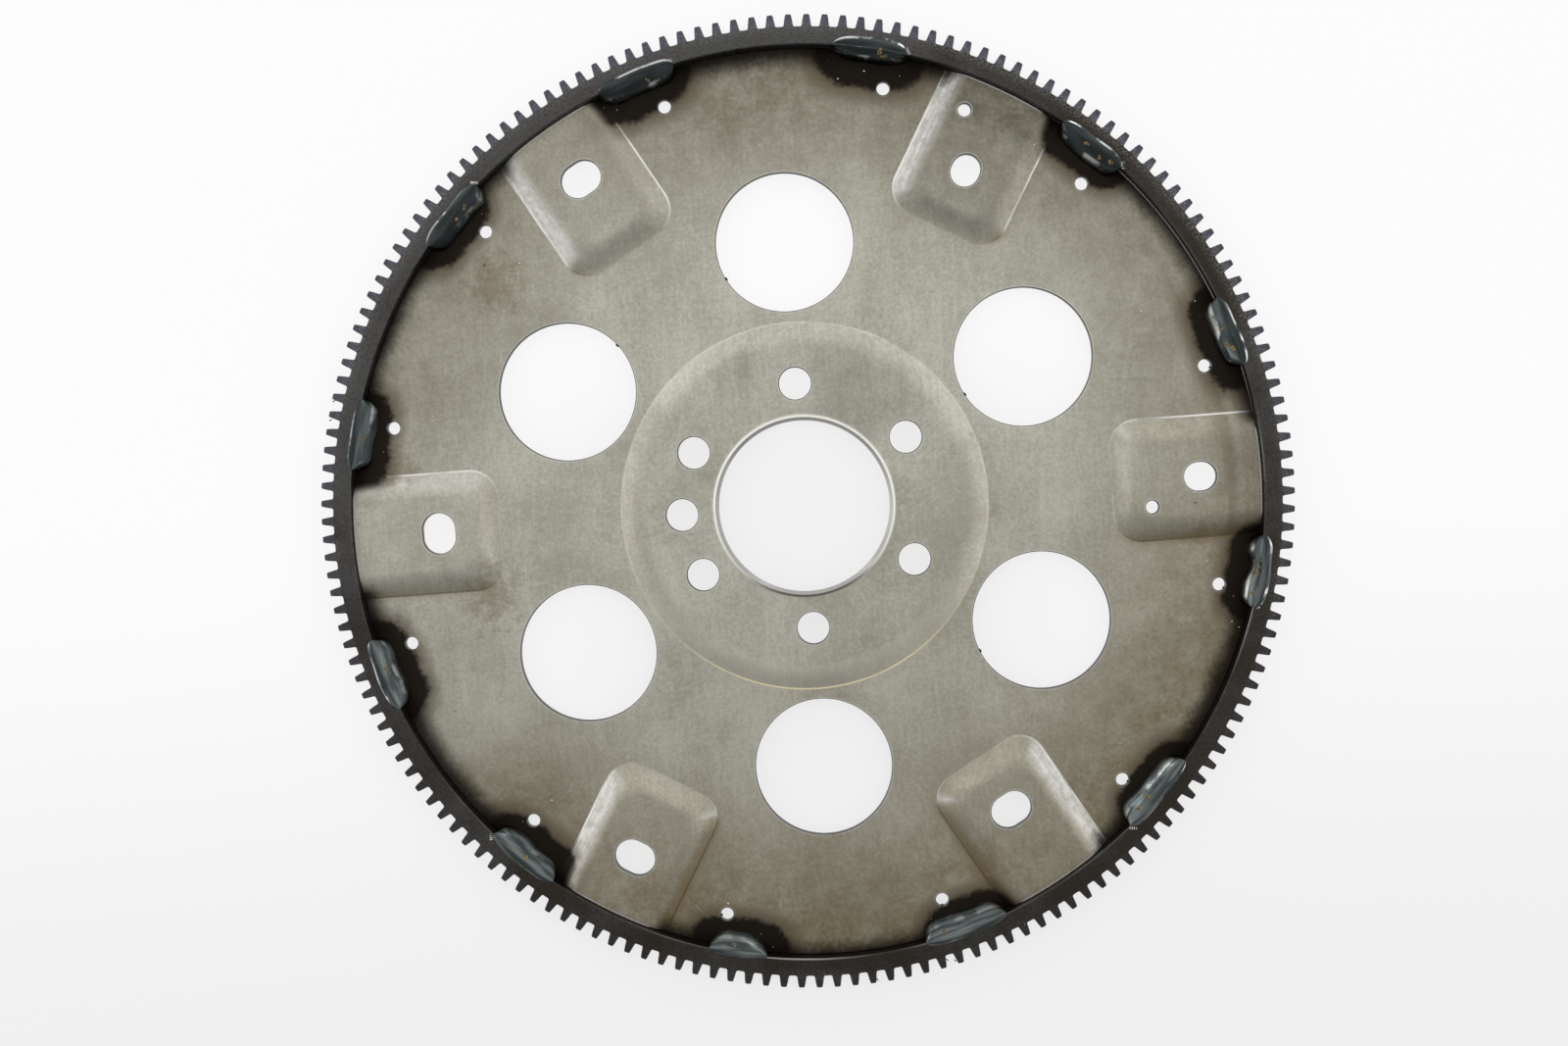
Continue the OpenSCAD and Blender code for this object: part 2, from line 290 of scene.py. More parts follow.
scene = bpy.context.scene
scene.view_settings.view_transform = "Standard"
world = bpy.data.worlds.new("studio")
scene.world = world
world.use_nodes = True
sky = world.node_tree
direction = add(sky, "ShaderNodeTexCoord").outputs["Generated"]
side = vectors(sky, "DOT_PRODUCT", direction, sky_way(BRIGHT_SIDE, 0))
height = add(sky, "ShaderNodeSeparateXYZ", {0: direction}).outputs["Z"]
level = smooth(sky, side, -0.5, 0.55, SIDE_DARK, SIDE_BRIGHT)
level = times(sky, level, smooth(sky, height, 0.35, 0.80, HORIZON, 1.0))
for azimuth, elevation in WINDOWS:
    nearness = vectors(sky, "DOT_PRODUCT", direction, sky_way(azimuth, elevation))
    level = maths(sky, "ADD", level, smooth(sky, nearness, 0.84, 0.985, 0, WINDOW_GAIN))
seen = add(sky, "ShaderNodeLightPath").outputs["Is Camera Ray"]
level = times(sky, level, ROOM, maths(sky, "SUBTRACT", 1.0, seen))
background = sky.nodes["Background"].inputs
put(sky, background["Strength"], maths(sky, "MULTIPLY_ADD", seen, BACKDROP, level))
put(sky, background["Color"], WHITE)
print("world has", len(sky.nodes), "nodes")

# %% [markdown]
# Four small softboxes stand near the horizon. They add little light, but the glossy welds mirror them as
# sharp glints. The energy of an area lamp is its radiance times its area, times pi.

# %% Softboxes
SOFTBOXES = ((58, 22, 3.0), (134, 20, 4.0), (205, 24, 3.0), (-32, 22, 3.0))
SOFTBOX_WIDTH, SOFTBOX_HEIGHT, SOFTBOX_DISTANCE = 0.10, 0.34, 0.95

for number, (azimuth, elevation, radiance) in enumerate(SOFTBOXES, 1):
    lamp_data = bpy.data.lights.new(f"softbox_{number}", "AREA")
    lamp_data.shape = "RECTANGLE"
    lamp_data.size, lamp_data.size_y = SOFTBOX_WIDTH, SOFTBOX_HEIGHT
    lamp_data.energy = radiance * math.pi * SOFTBOX_WIDTH * SOFTBOX_HEIGHT
    lamp = bpy.data.objects.new(f"softbox_{number}", lamp_data)
    way = sky_way(azimuth, elevation)
    lamp.location = way * SOFTBOX_DISTANCE
    lamp.rotation_euler = way.to_track_quat("Z", "Y").to_euler()
    scene.collection.objects.link(lamp)
print("softboxes:", len(SOFTBOXES))

# %% [markdown]
# The floor glows a little towards the camera, which makes it pale without lighting the metal, and it
# still takes the soft shadow of the part. The glow is weaker towards the viewer, a painted shade, and
# weaker again under the middle of the disc, a painted shadow where less light comes in through the holes.

# %% Floor
FLOOR_HALF, FLOOR_PAINT, FLOOR_ROUGH, FLOOR_SHINE = 2.0, (0.85, 0.85, 0.86, 1), 0.9, 0.1
FLOOR_GLOW, FLOOR_FAR, FLOOR_NEAR, FLOOR_SHADE = 0.80, 1.04, 0.915, 0.10

floor_mesh = bpy.data.meshes.new("floor")
corners = [(FLOOR_HALF * x, FLOOR_HALF * y, 0) for x, y in ((-1, -1), (1, -1), (1, 1), (-1, 1))]
floor_mesh.from_pydata(corners, [], [(0, 1, 2, 3)])
floor = bpy.data.objects.new("floor", floor_mesh)
scene.collection.objects.link(floor)
floor_paint, tree, shader, place = new_material("pale_floor")
paint(tree, shader, FLOOR_PAINT, FLOOR_ROUGH, 0.0)
put(tree, shader.inputs["Specular IOR Level"], FLOOR_SHINE)
rays = add(tree, "ShaderNodeLightPath").outputs
seen = maths(tree, "MAXIMUM", rays["Is Camera Ray"], rays["Is Glossy Ray"])
seen = maths(tree, "MAXIMUM", seen, rays["Is Transmission Ray"])
distance = add(tree, "ShaderNodeSeparateXYZ", {0: place}).outputs["Y"]
strength = smooth(tree, distance, -0.19, 0.02, FLOOR_NEAR, FLOOR_FAR)
painted_shadow_under_disc = smooth(tree, vectors(tree, "LENGTH", place), 0.03, 0.17, 1, 0)
painted_shadow_under_disc = times(tree, painted_shadow_under_disc, smooth(tree, distance, 0.01, 0.09, 1, 0))
strength = maths(tree, "MULTIPLY_ADD", painted_shadow_under_disc, -FLOOR_SHADE, strength)
glow = add(tree, "ShaderNodeEmission", {"Color": WHITE, "Strength": strength}).outputs[0]
share = times(tree, seen, FLOOR_GLOW)
mixed = add(tree, "ShaderNodeMixShader", {0: share, 1: shader.outputs[0], 2: glow}).outputs[0]
tree.links.new(mixed, tree.nodes["Material Output"].inputs["Surface"])
floor_mesh.materials.append(floor_paint)
print("floor side in m:", 2 * FLOOR_HALF)

# %% [markdown]
# ## A place round the rim
# Welds, burn marks and bands of heat all follow the rim. A shader only knows X, Y and Z, so this group
# turns them into a radius and a distance along the rim, measured from the middle of the nearest weld. One
# pattern, written once, then appears at all twelve welds, and the number of the weld lets each of them
# differ.

# %% Group: place along the rim
group, given, result = new_group(
    "rim_place", [("Position", "Vector", None)], ["Along", "Radius", "Weld", "Angle", "Height"]
)
split = add(group, "ShaderNodeSeparateXYZ", {0: given["Position"]}).outputs
angle = maths(group, "ARCTAN2", split["Y"], split["X"])
turned = maths(group, "SUBTRACT", angle, BEAD_TURN)
weld = maths(group, "ROUND", maths(group, "DIVIDE", turned, BEAD_STEP))
local = maths(group, "SUBTRACT", turned, times(group, weld, BEAD_STEP))
flat_place = vectors(group, "MULTIPLY", given["Position"], (1, 1, 0))
radius = maths(group, "DIVIDE", vectors(group, "LENGTH", flat_place), MM)
put(group, result["Along"], times(group, local, radius))
put(group, result["Radius"], radius)
put(group, result["Weld"], weld)
put(group, result["Angle"], angle)
put(group, result["Height"], maths(group, "DIVIDE", split["Z"], MM))
rim_place = group
print("group", group.name, "has", len(group.nodes), "nodes")

# %% [markdown]
# ## Burn marks
# Welding scorches the sheet: next to each bead lies a black patch of scale with a brown fringe, shaped
# like half an ellipse that opens to the rim. The group measures how far a point lies inside that ellipse,
# lets noise fray its edge, and puts out one mask for the black scale and one for the brown fringe. A
# third mask darkens a narrow band along the whole rim, wider in three places than in the others.

# %% Group: scorch at the welds
SCORCH_ALONG, SCORCH_IN = 21.5, 14.0
SCORCH_LEAST, SCORCH_SPREAD = 0.86, 0.24
BROWN_ON_PAD = 0.4

scorch, given, result = new_group(
    "scorch",
    [("Position", "Vector", None), ("Fray", "Float", 0.44)],
    ["Black", "Brown", "Rim", "Bands", "Grime", "Low", "Soot"],
)
here = given["Position"]
at = use_group(scorch, rim_place, Position=here)
fray = noise(scorch, here, 130, 5.0, 0.62)
crumbs = noise(scorch, here, 620, 3.0, 0.6)
fine_fray = maths(scorch, "SUBTRACT", crumbs, 0.5)
ragged = maths(scorch, "MULTIPLY_ADD", fine_fray, 0.4, maths(scorch, "SUBTRACT", fray, 0.5))
chance = add(scorch, "ShaderNodeTexWhiteNoise", {"W": at["Weld"]}, noise_dimensions="1D").outputs["Value"]
reach = maths(scorch, "MULTIPLY_ADD", chance, SCORCH_SPREAD, SCORCH_LEAST)
wide = maths(scorch, "ABSOLUTE", maths(scorch, "DIVIDE", at["Along"], SCORCH_ALONG))
deep = maths(scorch, "DIVIDE", maths(scorch, "SUBTRACT", RIM_R, at["Radius"]), SCORCH_IN)
ellipse = maths(scorch, "ADD", maths(scorch, "POWER", wide, 3), maths(scorch, "POWER", deep, 2))
ellipse = maths(scorch, "DIVIDE", maths(scorch, "SQRT", ellipse), reach)
distance = maths(scorch, "MULTIPLY_ADD", ragged, given["Fray"], ellipse)
on_pad = smooth(scorch, at["Height"], WEB_TOP + 0.5, WEB_TOP + PAD_RISE * 0.85)
on_web = maths(scorch, "SUBTRACT", 1.0, on_pad)
put(scorch, result["Black"], times(scorch, smooth(scorch, distance, 0.80, 1.01, 1, 0), on_web))
brown_share = maths(scorch, "MULTIPLY_ADD", on_pad, BROWN_ON_PAD - 1, 1.0)
put(scorch, result["Brown"], times(scorch, smooth(scorch, distance, 0.94, 1.42, 1, 0), brown_share))
thirds = maths(scorch, "COSINE", maths(scorch, "MULTIPLY_ADD", at["Angle"], 3, -math.pi / 2))
rim_edge = maths(scorch, "MULTIPLY_ADD", thirds, -1.2, at["Radius"])
rim_edge = maths(scorch, "MULTIPLY_ADD", ragged, 3.0, rim_edge)
put(scorch, result["Rim"], times(scorch, smooth(scorch, rim_edge, 160.0, 168.4), on_web))
print("burn marks reach in mm:", SCORCH_IN, "inwards and", SCORCH_ALONG, "along the rim")

# %% [markdown]
# The same group gathers the dirt. Oily grime grows outwards, and the sheet is also darker and browner
# towards the lower side of the picture. One side stays nearly clean, and another is sootier than the
# rest. Weld smoke settled on the outer ends of some pads, and the heat left faint bands along one stretch
# of the rim. The bands are noise in angle and radius, so that they follow the rim.

# %% Group: grime, soot and bands of heat
LOW_SIDE, CLEAN_SIDE, SOOTY_SIDE, SMOKE_SIDE, SMOKED_PAD, BAND_SIDE = 283, 190, 76, 50, 60, 3
LOW_SIDE_DARKENING, PAD_CLEANER, OUTER_SOOT, SMOKED_SOOT = 0.32, 0.22, 0.42, 0.25


def turned_to(azimuth):
    """Cosine of the angle round the axis between the point and an azimuth."""
    return maths(scorch, "DIVIDE", towards(scorch, here, azimuth), at["Radius"])


lower = smooth(scorch, towards(scorch, here, LOW_SIDE), -30, 120)
put(scorch, result["Low"], lower)
clean = smooth(scorch, turned_to(CLEAN_SIDE), 0.86, 0.96, 1.0, 0.25)
sooty = smooth(scorch, turned_to(SOOTY_SIDE), 0.74, 0.97, 1.0, 1.42)
outward = times(scorch, smooth(scorch, at["Radius"], 92, 168), clean, sooty)
clouds = maths(scorch, "MULTIPLY_ADD", crumbs, 0.4, times(scorch, fray, 0.6))
clouds = smooth(scorch, clouds, 0.3, 0.7, 0.72, 1.28)
# The mask is also stronger towards the lower side of the picture.
grime = maths(scorch, "MULTIPLY_ADD", lower, LOW_SIDE_DARKENING, outward)
cleaner = maths(scorch, "MULTIPLY_ADD", on_pad, -PAD_CLEANER, 1.0)
put(scorch, result["Grime"], times(scorch, grime, cleaner, clouds))
outer_end = smooth(scorch, at["Radius"], 146, 160)
smoke = times(scorch, outer_end, smooth(scorch, turned_to(SMOKE_SIDE), 0.2, 0.85, 0, OUTER_SOOT))
smoke = maths(scorch, "ADD", smoke, smooth(scorch, turned_to(SMOKED_PAD), 0.9, 0.98, 0, SMOKED_SOOT))
put(scorch, result["Soot"], times(scorch, smoke, on_pad, clouds))
round_place = add(scorch, "ShaderNodeCombineXYZ", {0: at["Angle"], 1: times(scorch, at["Radius"], 0.22)})
bands = smooth(scorch, noise(scorch, round_place.outputs[0], 1.0, 2.0, 0.5), 0.40, 0.60)
near_rim = smooth(scorch, at["Radius"], 148, 158)
near_side = smooth(scorch, towards(scorch, here, BAND_SIDE), 128, 156)
put(scorch, result["Bands"], times(scorch, bands, near_rim, near_side))
print("group", scorch.name, "has", len(scorch.nodes), "nodes")

# %% [markdown]
# ## Grain of rolled steel
# Bare sheet steel is never one colour. Fine mottling, wide faint patches, streaks along the rolling
# direction, small dark pits and a few bright specks all lie on it. They share one group, so the disc and
# the ring have the same metal under different tints. The mask called Grain also drives the bump, which
# breaks up the reflections.

# %% Group: steel grain
ROLLING_TURN, GRINDING_TURN, DRIFT_TURN = math.radians(4), -0.5, -0.12

steel_grain, given, result = new_group(
    "steel_grain",
    [("Position", "Vector", None), ("Streaks", "Float", 0.5)],
    ["Grain", "Patches", "Stains", "Specks", "Pits"],
)
here = given["Position"]
fine = noise(steel_grain, here, 760, 5.0, 0.72)
along = noise(steel_grain, here, 100, 5.0, 0.7, (9, 1.2, 1), ROLLING_TURN)
across = noise(steel_grain, here, 60, 4.0, 0.65, (1.5, 7, 1), GRINDING_TURN)
drift = noise(steel_grain, here, 34, 6.0, 0.72, (6, 1, 1), DRIFT_TURN, 1.6)
streak = maths(steel_grain, "MULTIPLY_ADD", across, 0.2, times(steel_grain, along, 0.4))
streak = maths(steel_grain, "MULTIPLY_ADD", drift, 0.4, streak)
grain = add(steel_grain, "ShaderNodeMix", {0: given["Streaks"], 2: fine, 3: streak}).outputs[0]
stains = smooth(steel_grain, noise(steel_grain, here, 48, 5.0, 0.68), 0.52, 0.74)


def dots(scale, size, rarity):
    """Small dots, one in some of the cells of a Voronoi pattern."""
    inputs = {"Vector": here, "Scale": scale, "Randomness": 1.0}
    cells = add(steel_grain, "ShaderNodeTexVoronoi", inputs).outputs
    inside = smooth(steel_grain, cells["Distance"], size * 0.55, size, 1, 0)
    chance = add(steel_grain, "ShaderNodeSeparateColor", {0: cells["Color"]}).outputs[0]
    return times(steel_grain, inside, maths(steel_grain, "GREATER_THAN", chance, rarity))


put(steel_grain, result["Grain"], grain)
put(steel_grain, result["Patches"], noise(steel_grain, here, 26, 4.0, 0.6))
put(steel_grain, result["Stains"], stains)
put(steel_grain, result["Specks"], dots(170, 0.055, 0.9))
put(steel_grain, result["Pits"], dots(260, 0.09, 0.86))
print("group", steel_grain.name, "has", len(steel_grain.nodes), "nodes")

# %% [markdown]
# ## Finish of the disc
# The disc is mill-finish steel with a warm grey tone. Starting from two close greys, the material lays
# one coat over the other, in the order in which they happened to the real sheet. First come handling
# stains, grime, soot and heat bands. The shader stays metallic all over: a black base colour then
# swallows the reflection too, which is what mill scale does.

# %% Material of the disc: the bare sheet
STEEL_LIGHT, STEEL_DARK, BRIGHT_SPECK = (0.63, 0.62, 0.53), (0.43, 0.415, 0.345), (0.9, 0.89, 0.84)
STAIN, SOIL, LOW_SIDE_BROWN = (0.20, 0.168, 0.11), (0.20, 0.178, 0.128), (0.205, 0.165, 0.095)
PAD_SOOT = (0.105, 0.093, 0.070)

bare_steel, tree, shader, place = new_material("bare_steel_disc")
metal = use_group(tree, steel_grain, Position=place, Streaks=0.5)
burn = use_group(tree, scorch, Position=place)
at = use_group(tree, rim_place, Position=place)
tone = maths(tree, "MULTIPLY_ADD", metal["Patches"], 0.28, times(tree, metal["Grain"], 0.6))
colour = blend(tree, smooth(tree, tone, 0.34, 0.53), STEEL_LIGHT, STEEL_DARK)
colour = coat(
    tree,
    colour,
    (metal["Stains"], 0.24, STAIN),
    (burn["Grime"], 0.60, blend(tree, burn["Low"], SOIL, LOW_SIDE_BROWN)),
    (burn["Soot"], 0.84, PAD_SOOT),
    (burn["Bands"], 0.55, STAIN),
    (metal["Pits"], 0.45, STAIN),
    (metal["Specks"], 0.8, BRIGHT_SPECK),
)
print("bare sheet:", len(tree.nodes), "nodes")

# %% [markdown]
# The next coats lie on the ramps, and the mesh brings an attribute called fold for them: which way the
# nearest ramp faces in plan, and how many millimetres the point lies inside its foot. From these come
# masks for ramps that face up or down the picture, for the long sides of a pad as against its inner end,
# and for streaks drawn up the slope.

# %% Material of the disc: masks of the ramps
PAD_ZONE = (96, 106)

fold = add(tree, "ShaderNodeAttribute", attribute_name="fold").outputs["Vector"]
inside = add(tree, "ShaderNodeSeparateXYZ", {0: fold}).outputs["Z"]
higher = maths(tree, "DIVIDE", towards(tree, place, BRIGHT_SIDE), RIM_R)
facing = vectors(tree, "DOT_PRODUCT", fold, sky_way(BRIGHT_SIDE, 0))
faces_up = smooth(tree, maths(tree, "MULTIPLY_ADD", higher, 0.5, facing), -0.62, -0.1)
faces_down = maths(tree, "SUBTRACT", 1.0, faces_up)
aside = vectors(tree, "DOT_PRODUCT", fold, (1, 0, 0))
outward = vectors(tree, "NORMALIZE", vectors(tree, "MULTIPLY", place, (1, 1, 0)))
end_on = vectors(tree, "DOT_PRODUCT", outward, fold)
side_on = smooth(tree, maths(tree, "ABSOLUTE", end_on), 0.35, 0.8, 1, 0)
leftmost = smooth(tree, towards(tree, place, 0), -140, -90, 1, 0)
on_pads = smooth(tree, at["Radius"], *PAD_ZONE)
on_ramp = between(tree, inside, -0.3, 0.2, 3.0, 9.0)
up_slope = add(tree, "ShaderNodeCombineXYZ", {2: inside}).outputs[0]
drawn = vectors(tree, "ADD", vectors(tree, "MULTIPLY", place, (45, 45, 0)), up_slope)
drawn = noise(tree, drawn, 1.3, 2.0, 0.6)
print("masks of the ramps:", len(tree.nodes), "nodes so far")

# %% [markdown]
# The ramps that face up the picture and towards the two windows are painted lighter and more neutral, in
# streaks: partly polished by the press tool, partly a painted highlight of the bright room. It is
# strongest on the long sides of the pads, and it is mottled.

# %% Material of the disc: polish and painted highlight on the ramps
POLISH_AND_HIGHLIGHT = (0.80, 0.80, 0.79)

faces_left = smooth(tree, aside, -0.8, -0.35, 1, 0)
faces_right = times(tree, smooth(tree, aside, 0.35, 0.8), smooth(tree, higher, -0.5, 0.0, 1.0, 0.1))
faces_back = smooth(tree, vectors(tree, "DOT_PRODUCT", fold, (0, 1, 0)), 0.6, 0.95)
faces_aside = maths(tree, "ADD", faces_left, faces_right)
faces_aside = maths(tree, "MULTIPLY_ADD", times(tree, faces_back, leftmost), 0.5, faces_aside)
streaks = smooth(tree, drawn, 0.22, 0.75, 0.5, 1.0)
mottle = smooth(tree, noise(tree, place, 340, 4.0, 0.7), 0.36, 0.62, 0.55, 1.0)
polish_and_highlight = times(tree, on_ramp, faces_up, faces_aside, side_on, streaks, mottle)
colour = coat(tree, colour, (polish_and_highlight, 0.8, POLISH_AND_HIGHLIGHT))
print("polish:", len(tree.nodes), "nodes so far")

# %% [markdown]
# Rust begins in a few spots. Each is a distance from a point in plan, frayed by one shared noise. On the
# ramp of the hub, the lower side of the picture is painted light, a painted highlight on a ramp that
# faces the dark side of the room, and a little dirt lies on its left.

# %% Material of the disc: rust and the ramp of the hub
RUST, RUST_SHARE, RUST_HEIGHT, RUST_FRAY = (0.185, 0.130, 0.070), 0.42, 6.0, 2.4
RUST_SPOTS = (
    (-119, -26, 15), (-151, 25, 11), (-108, 91, 15), (-70, -140, 10), (146, -22, 9), (60, -137, 9),
)
HUB_LOW_HIGHLIGHT = (0.84, 0.82, 0.68)

rust_noise = maths(tree, "SUBTRACT", noise(tree, place, 190, 5.0, 0.7), 0.5)
for x, y, reach in RUST_SPOTS:
    apart = vectors(tree, "DISTANCE", place, Vector((x, y, RUST_HEIGHT)) * MM)
    apart = maths(tree, "MULTIPLY_ADD", rust_noise, -RUST_FRAY * reach * MM, apart)
    spot = smooth(tree, apart, 0.1 * reach * MM, reach * MM, 1, 0)
    colour = coat(tree, colour, (spot, RUST_SHARE, RUST))
hub_ramp = between(tree, at["Radius"], 58, 62, 68.0, 68.6)
hub_low_highlight = times(tree, hub_ramp, smooth(tree, higher, -0.38, -0.05, 0.30, 0.02))
hub_dirt = times(tree, hub_ramp, smooth(tree, aside, -0.95, -0.6, 1, 0))
hub_dirt = times(tree, hub_dirt, smooth(tree, higher, 0.02, 0.16, 1, 0))
colour = coat(tree, colour, (hub_low_highlight, 1, HUB_LOW_HIGHLIGHT), (hub_dirt, 0.24, STAIN))
print("rust spots:", len(RUST_SPOTS))

# %% [markdown]
# Painted shade, tinted brown like dirt, lies in the folds that face down the picture. Along the foot of
# every ramp the tool left a fine line. It carries a painted highlight where the ramp faces up the
# picture, painted shade where it faces down, and a tan painted highlight round the lower side of the hub.

# %% Material of the disc: painted shade in the folds, painted light on the lines along the feet
FOLD_SHADE, PAINTED_HIGHLIGHT, DARK_BROWN = (0.225, 0.172, 0.088), (0.92, 0.91, 0.87), (0.10, 0.074, 0.047)
HUB_TAN_HIGHLIGHT = (0.98, 0.88, 0.58)

fold_shade = times(tree, between(tree, inside, -3.0, 0.0, 0.5, 5.5), faces_down, on_pads)
fold_shade = times(tree, fold_shade, maths(tree, "MULTIPLY_ADD", leftmost, -0.5, 1.0))
fold_shade = times(tree, fold_shade, smooth(tree, at["Radius"], 118, 164, 0.8, 1.5))
fold_shade = times(tree, fold_shade, maths(tree, "MULTIPLY_ADD", side_on, 0.42, 0.1))
left_end = times(tree, on_ramp, smooth(tree, aside, 0.6, 0.95), leftmost, on_pads)
line = smooth(tree, maths(tree, "ABSOLUTE", maths(tree, "ADD", inside, 0.1)), 0.16, 0.5, 1, 0)
line = times(tree, line, maths(tree, "MULTIPLY_ADD", times(tree, on_pads, end_on), 0.8, 1.0))
foot_highlight = times(tree, line, faces_up, smooth(tree, drawn, 0.34, 0.55))
foot_highlight = times(tree, foot_highlight, smooth(tree, at["Radius"], *PAD_ZONE, 0.36, 0.8))
low_line = times(tree, line, faces_down)
hub_foot_highlight = times(tree, low_line, smooth(tree, at["Radius"], *PAD_ZONE, 0.85, 0))
hub_foot_highlight = times(tree, hub_foot_highlight, smooth(tree, higher, -0.38, -0.26, 1.0, 0.2))
hub_foot_highlight = times(tree, hub_foot_highlight, smooth(tree, drawn, 0.3, 0.5, 0.35, 1.0))
colour = coat(
    tree,
    colour,
    (fold_shade, 1, FOLD_SHADE),
    (left_end, 0.35, STAIN),
    (foot_highlight, 1, PAINTED_HIGHLIGHT),
    (times(tree, low_line, on_pads), 0.5, DARK_BROWN),
    (hub_foot_highlight, 1, HUB_TAN_HIGHLIGHT),
)
print("folds:", len(tree.nodes), "nodes so far")

# %% [markdown]
# Last come the edges and the burn. A second attribute, hole_rim, marks the edges of the holes and the lip
# of the pilot bore, which carry a painted highlight. The lower part of the bore's lip lies in painted
# shade and dirt. On the web, the scorch of the welds lies over all of this. The outer edge of each pad
# carries a painted highlight.

# %% Material of the disc: rims of the holes, and the burn
SCALE_BLACK = (0.012, 0.009, 0.007)
BORE_ZONE = (36, 37)

hole_rim = add(tree, "ShaderNodeAttribute", attribute_name="hole_rim").outputs["Fac"]
# The edges of the holes and the lip of the bore take a painted highlight.
lip = times(tree, hole_rim, smooth(tree, at["Radius"], *BORE_ZONE, 0.85, 0.38))
low_lip = times(tree, hole_rim, smooth(tree, at["Radius"], *BORE_ZONE, 1, 0))
low_lip = times(tree, low_lip, smooth(tree, higher, -0.19, -0.13, 1, 0))
pad_edge_highlight = times(tree, smooth(tree, at["Radius"], 167.5, 168.2), smooth(tree, at["Height"], 7.4, 7.8))
colour = coat(
    tree,
    colour,
    (lip, 1, PAINTED_HIGHLIGHT),
    (low_lip, 0.85, DARK_BROWN),
    (burn["Brown"], 0.66, DARK_BROWN),
    (burn["Rim"], 0.9, SCALE_BLACK),
    (times(tree, pad_edge_highlight, metal["Grain"]), 1.1, PAINTED_HIGHLIGHT),
    (burn["Black"], 0.95, SCALE_BLACK),
)
burnt = maths(tree, "MAXIMUM", burn["Black"], burn["Rim"])
roughness = maths(tree, "MULTIPLY_ADD", metal["Grain"], 0.26, 0.32)
roughness = maths(tree, "MULTIPLY_ADD", burnt, 0.15, roughness)
paint(tree, shader, colour, roughness)
emboss(tree, shader, metal["Grain"], 0.16, 0.4)
print("material", bare_steel.name, "has", len(tree.nodes), "nodes")

# %% [markdown]
# The bevel of the pilot bore was turned on a lathe after pressing, so it is brighter and smoother than
# the sheet. The other holes were punched, and their bevels and sheared walls are painted dark as a
# painted shade. Both are extra material slots on the same mesh, which keeps the disc one piece.

# %% Materials: turned bevel of the bore, walls of the holes in painted shade
TURNED_LIGHT, TURNED_DARK = (0.62, 0.61, 0.58), (0.48, 0.47, 0.44)
WALL_SHADE_LIGHT, WALL_SHADE_DARK, SHEARED_ROUGH = (0.17, 0.165, 0.17), (0.08, 0.075, 0.08), 0.45

turned_steel, tree, shader, place = new_material("turned_steel_bevel")
metal = use_group(tree, steel_grain, Position=place, Streaks=0.0)
colour = blend(tree, metal["Grain"], TURNED_LIGHT, TURNED_DARK)
paint(tree, shader, colour, maths(tree, "MULTIPLY_ADD", metal["Grain"], 0.2, 0.18))

wall_shade_steel, tree, shader, place = new_material("sheared_steel_edge")
metal = use_group(tree, steel_grain, Position=place, Streaks=0.0)
paint(tree, shader, blend(tree, metal["Grain"], WALL_SHADE_LIGHT, WALL_SHADE_DARK), SHEARED_ROUGH)
print("materials", turned_steel.name, "and", wall_shade_steel.name, "ready")

# %% [markdown]
# ## The disc
# A real disc starts as a flat blank, is pierced, and is then pressed. The mesh is made in the same order.
# First come outlines in plan: the rim, every hole and the foot and shoulder of every ramp. A constrained
# Delaunay triangulation fills the blank between them without crossing any outline. Then one height
# formula presses the hub and the pads. A grid with Boolean holes would leave ragged edges, and the
# triangulation keeps each hole perfectly round.

# %% Outlines of the blank
EDGE_BEVEL, EDGE_GUARD = 0.30, 0.9


def ring_points(radius, count):
    """Points of a circle in plan."""
    turns = [math.tau * k / count for k in range(count)]
    return [(radius * math.cos(t), radius * math.sin(t)) for t in turns]


class Hole:
    """A hole in the blank. A stretched one lies with its long way at lean to the radius."""

    def __init__(self, radius, distance=0.0, turn=0.0, stretch=0.0, lean=0.0, sideways=0.0, count=48):
        self.radius, self.stretch, self.count, self.lean = radius, stretch, count, turn + lean
        self.turn = turn + math.atan2(sideways, distance or 1)
        reach = math.hypot(distance, sideways)
        self.centre = (reach * math.cos(self.turn), reach * math.sin(self.turn))
        self.bevel = EDGE_BEVEL

    def grown(self, extra):
        """The outline, moved outwards into the metal."""
        points = []
        for t in (math.tau * (k + 0.5) / self.count for k in range(self.count)):
            end = math.copysign(self.stretch / 2, math.cos(t))
            x, y = end + (self.radius + extra) * math.cos(t), (self.radius + extra) * math.sin(t)
            c, s = math.cos(self.lean), math.sin(self.lean)
            points.append((self.centre[0] + x * c - y * s, self.centre[1] + x * s + y * c))
        return points

    def holds(self, x, y, extra=0.0):
        """True for the points of the plan that lie in the hole, or within extra of it."""
        c, s = math.cos(self.lean), math.sin(self.lean)
        dx, dy = x - self.centre[0], y - self.centre[1]
        along, across = dx * c + dy * s, -dx * s + dy * c
        return np.hypot(np.maximum(np.abs(along) - self.stretch / 2, 0), across) < self.radius + extra


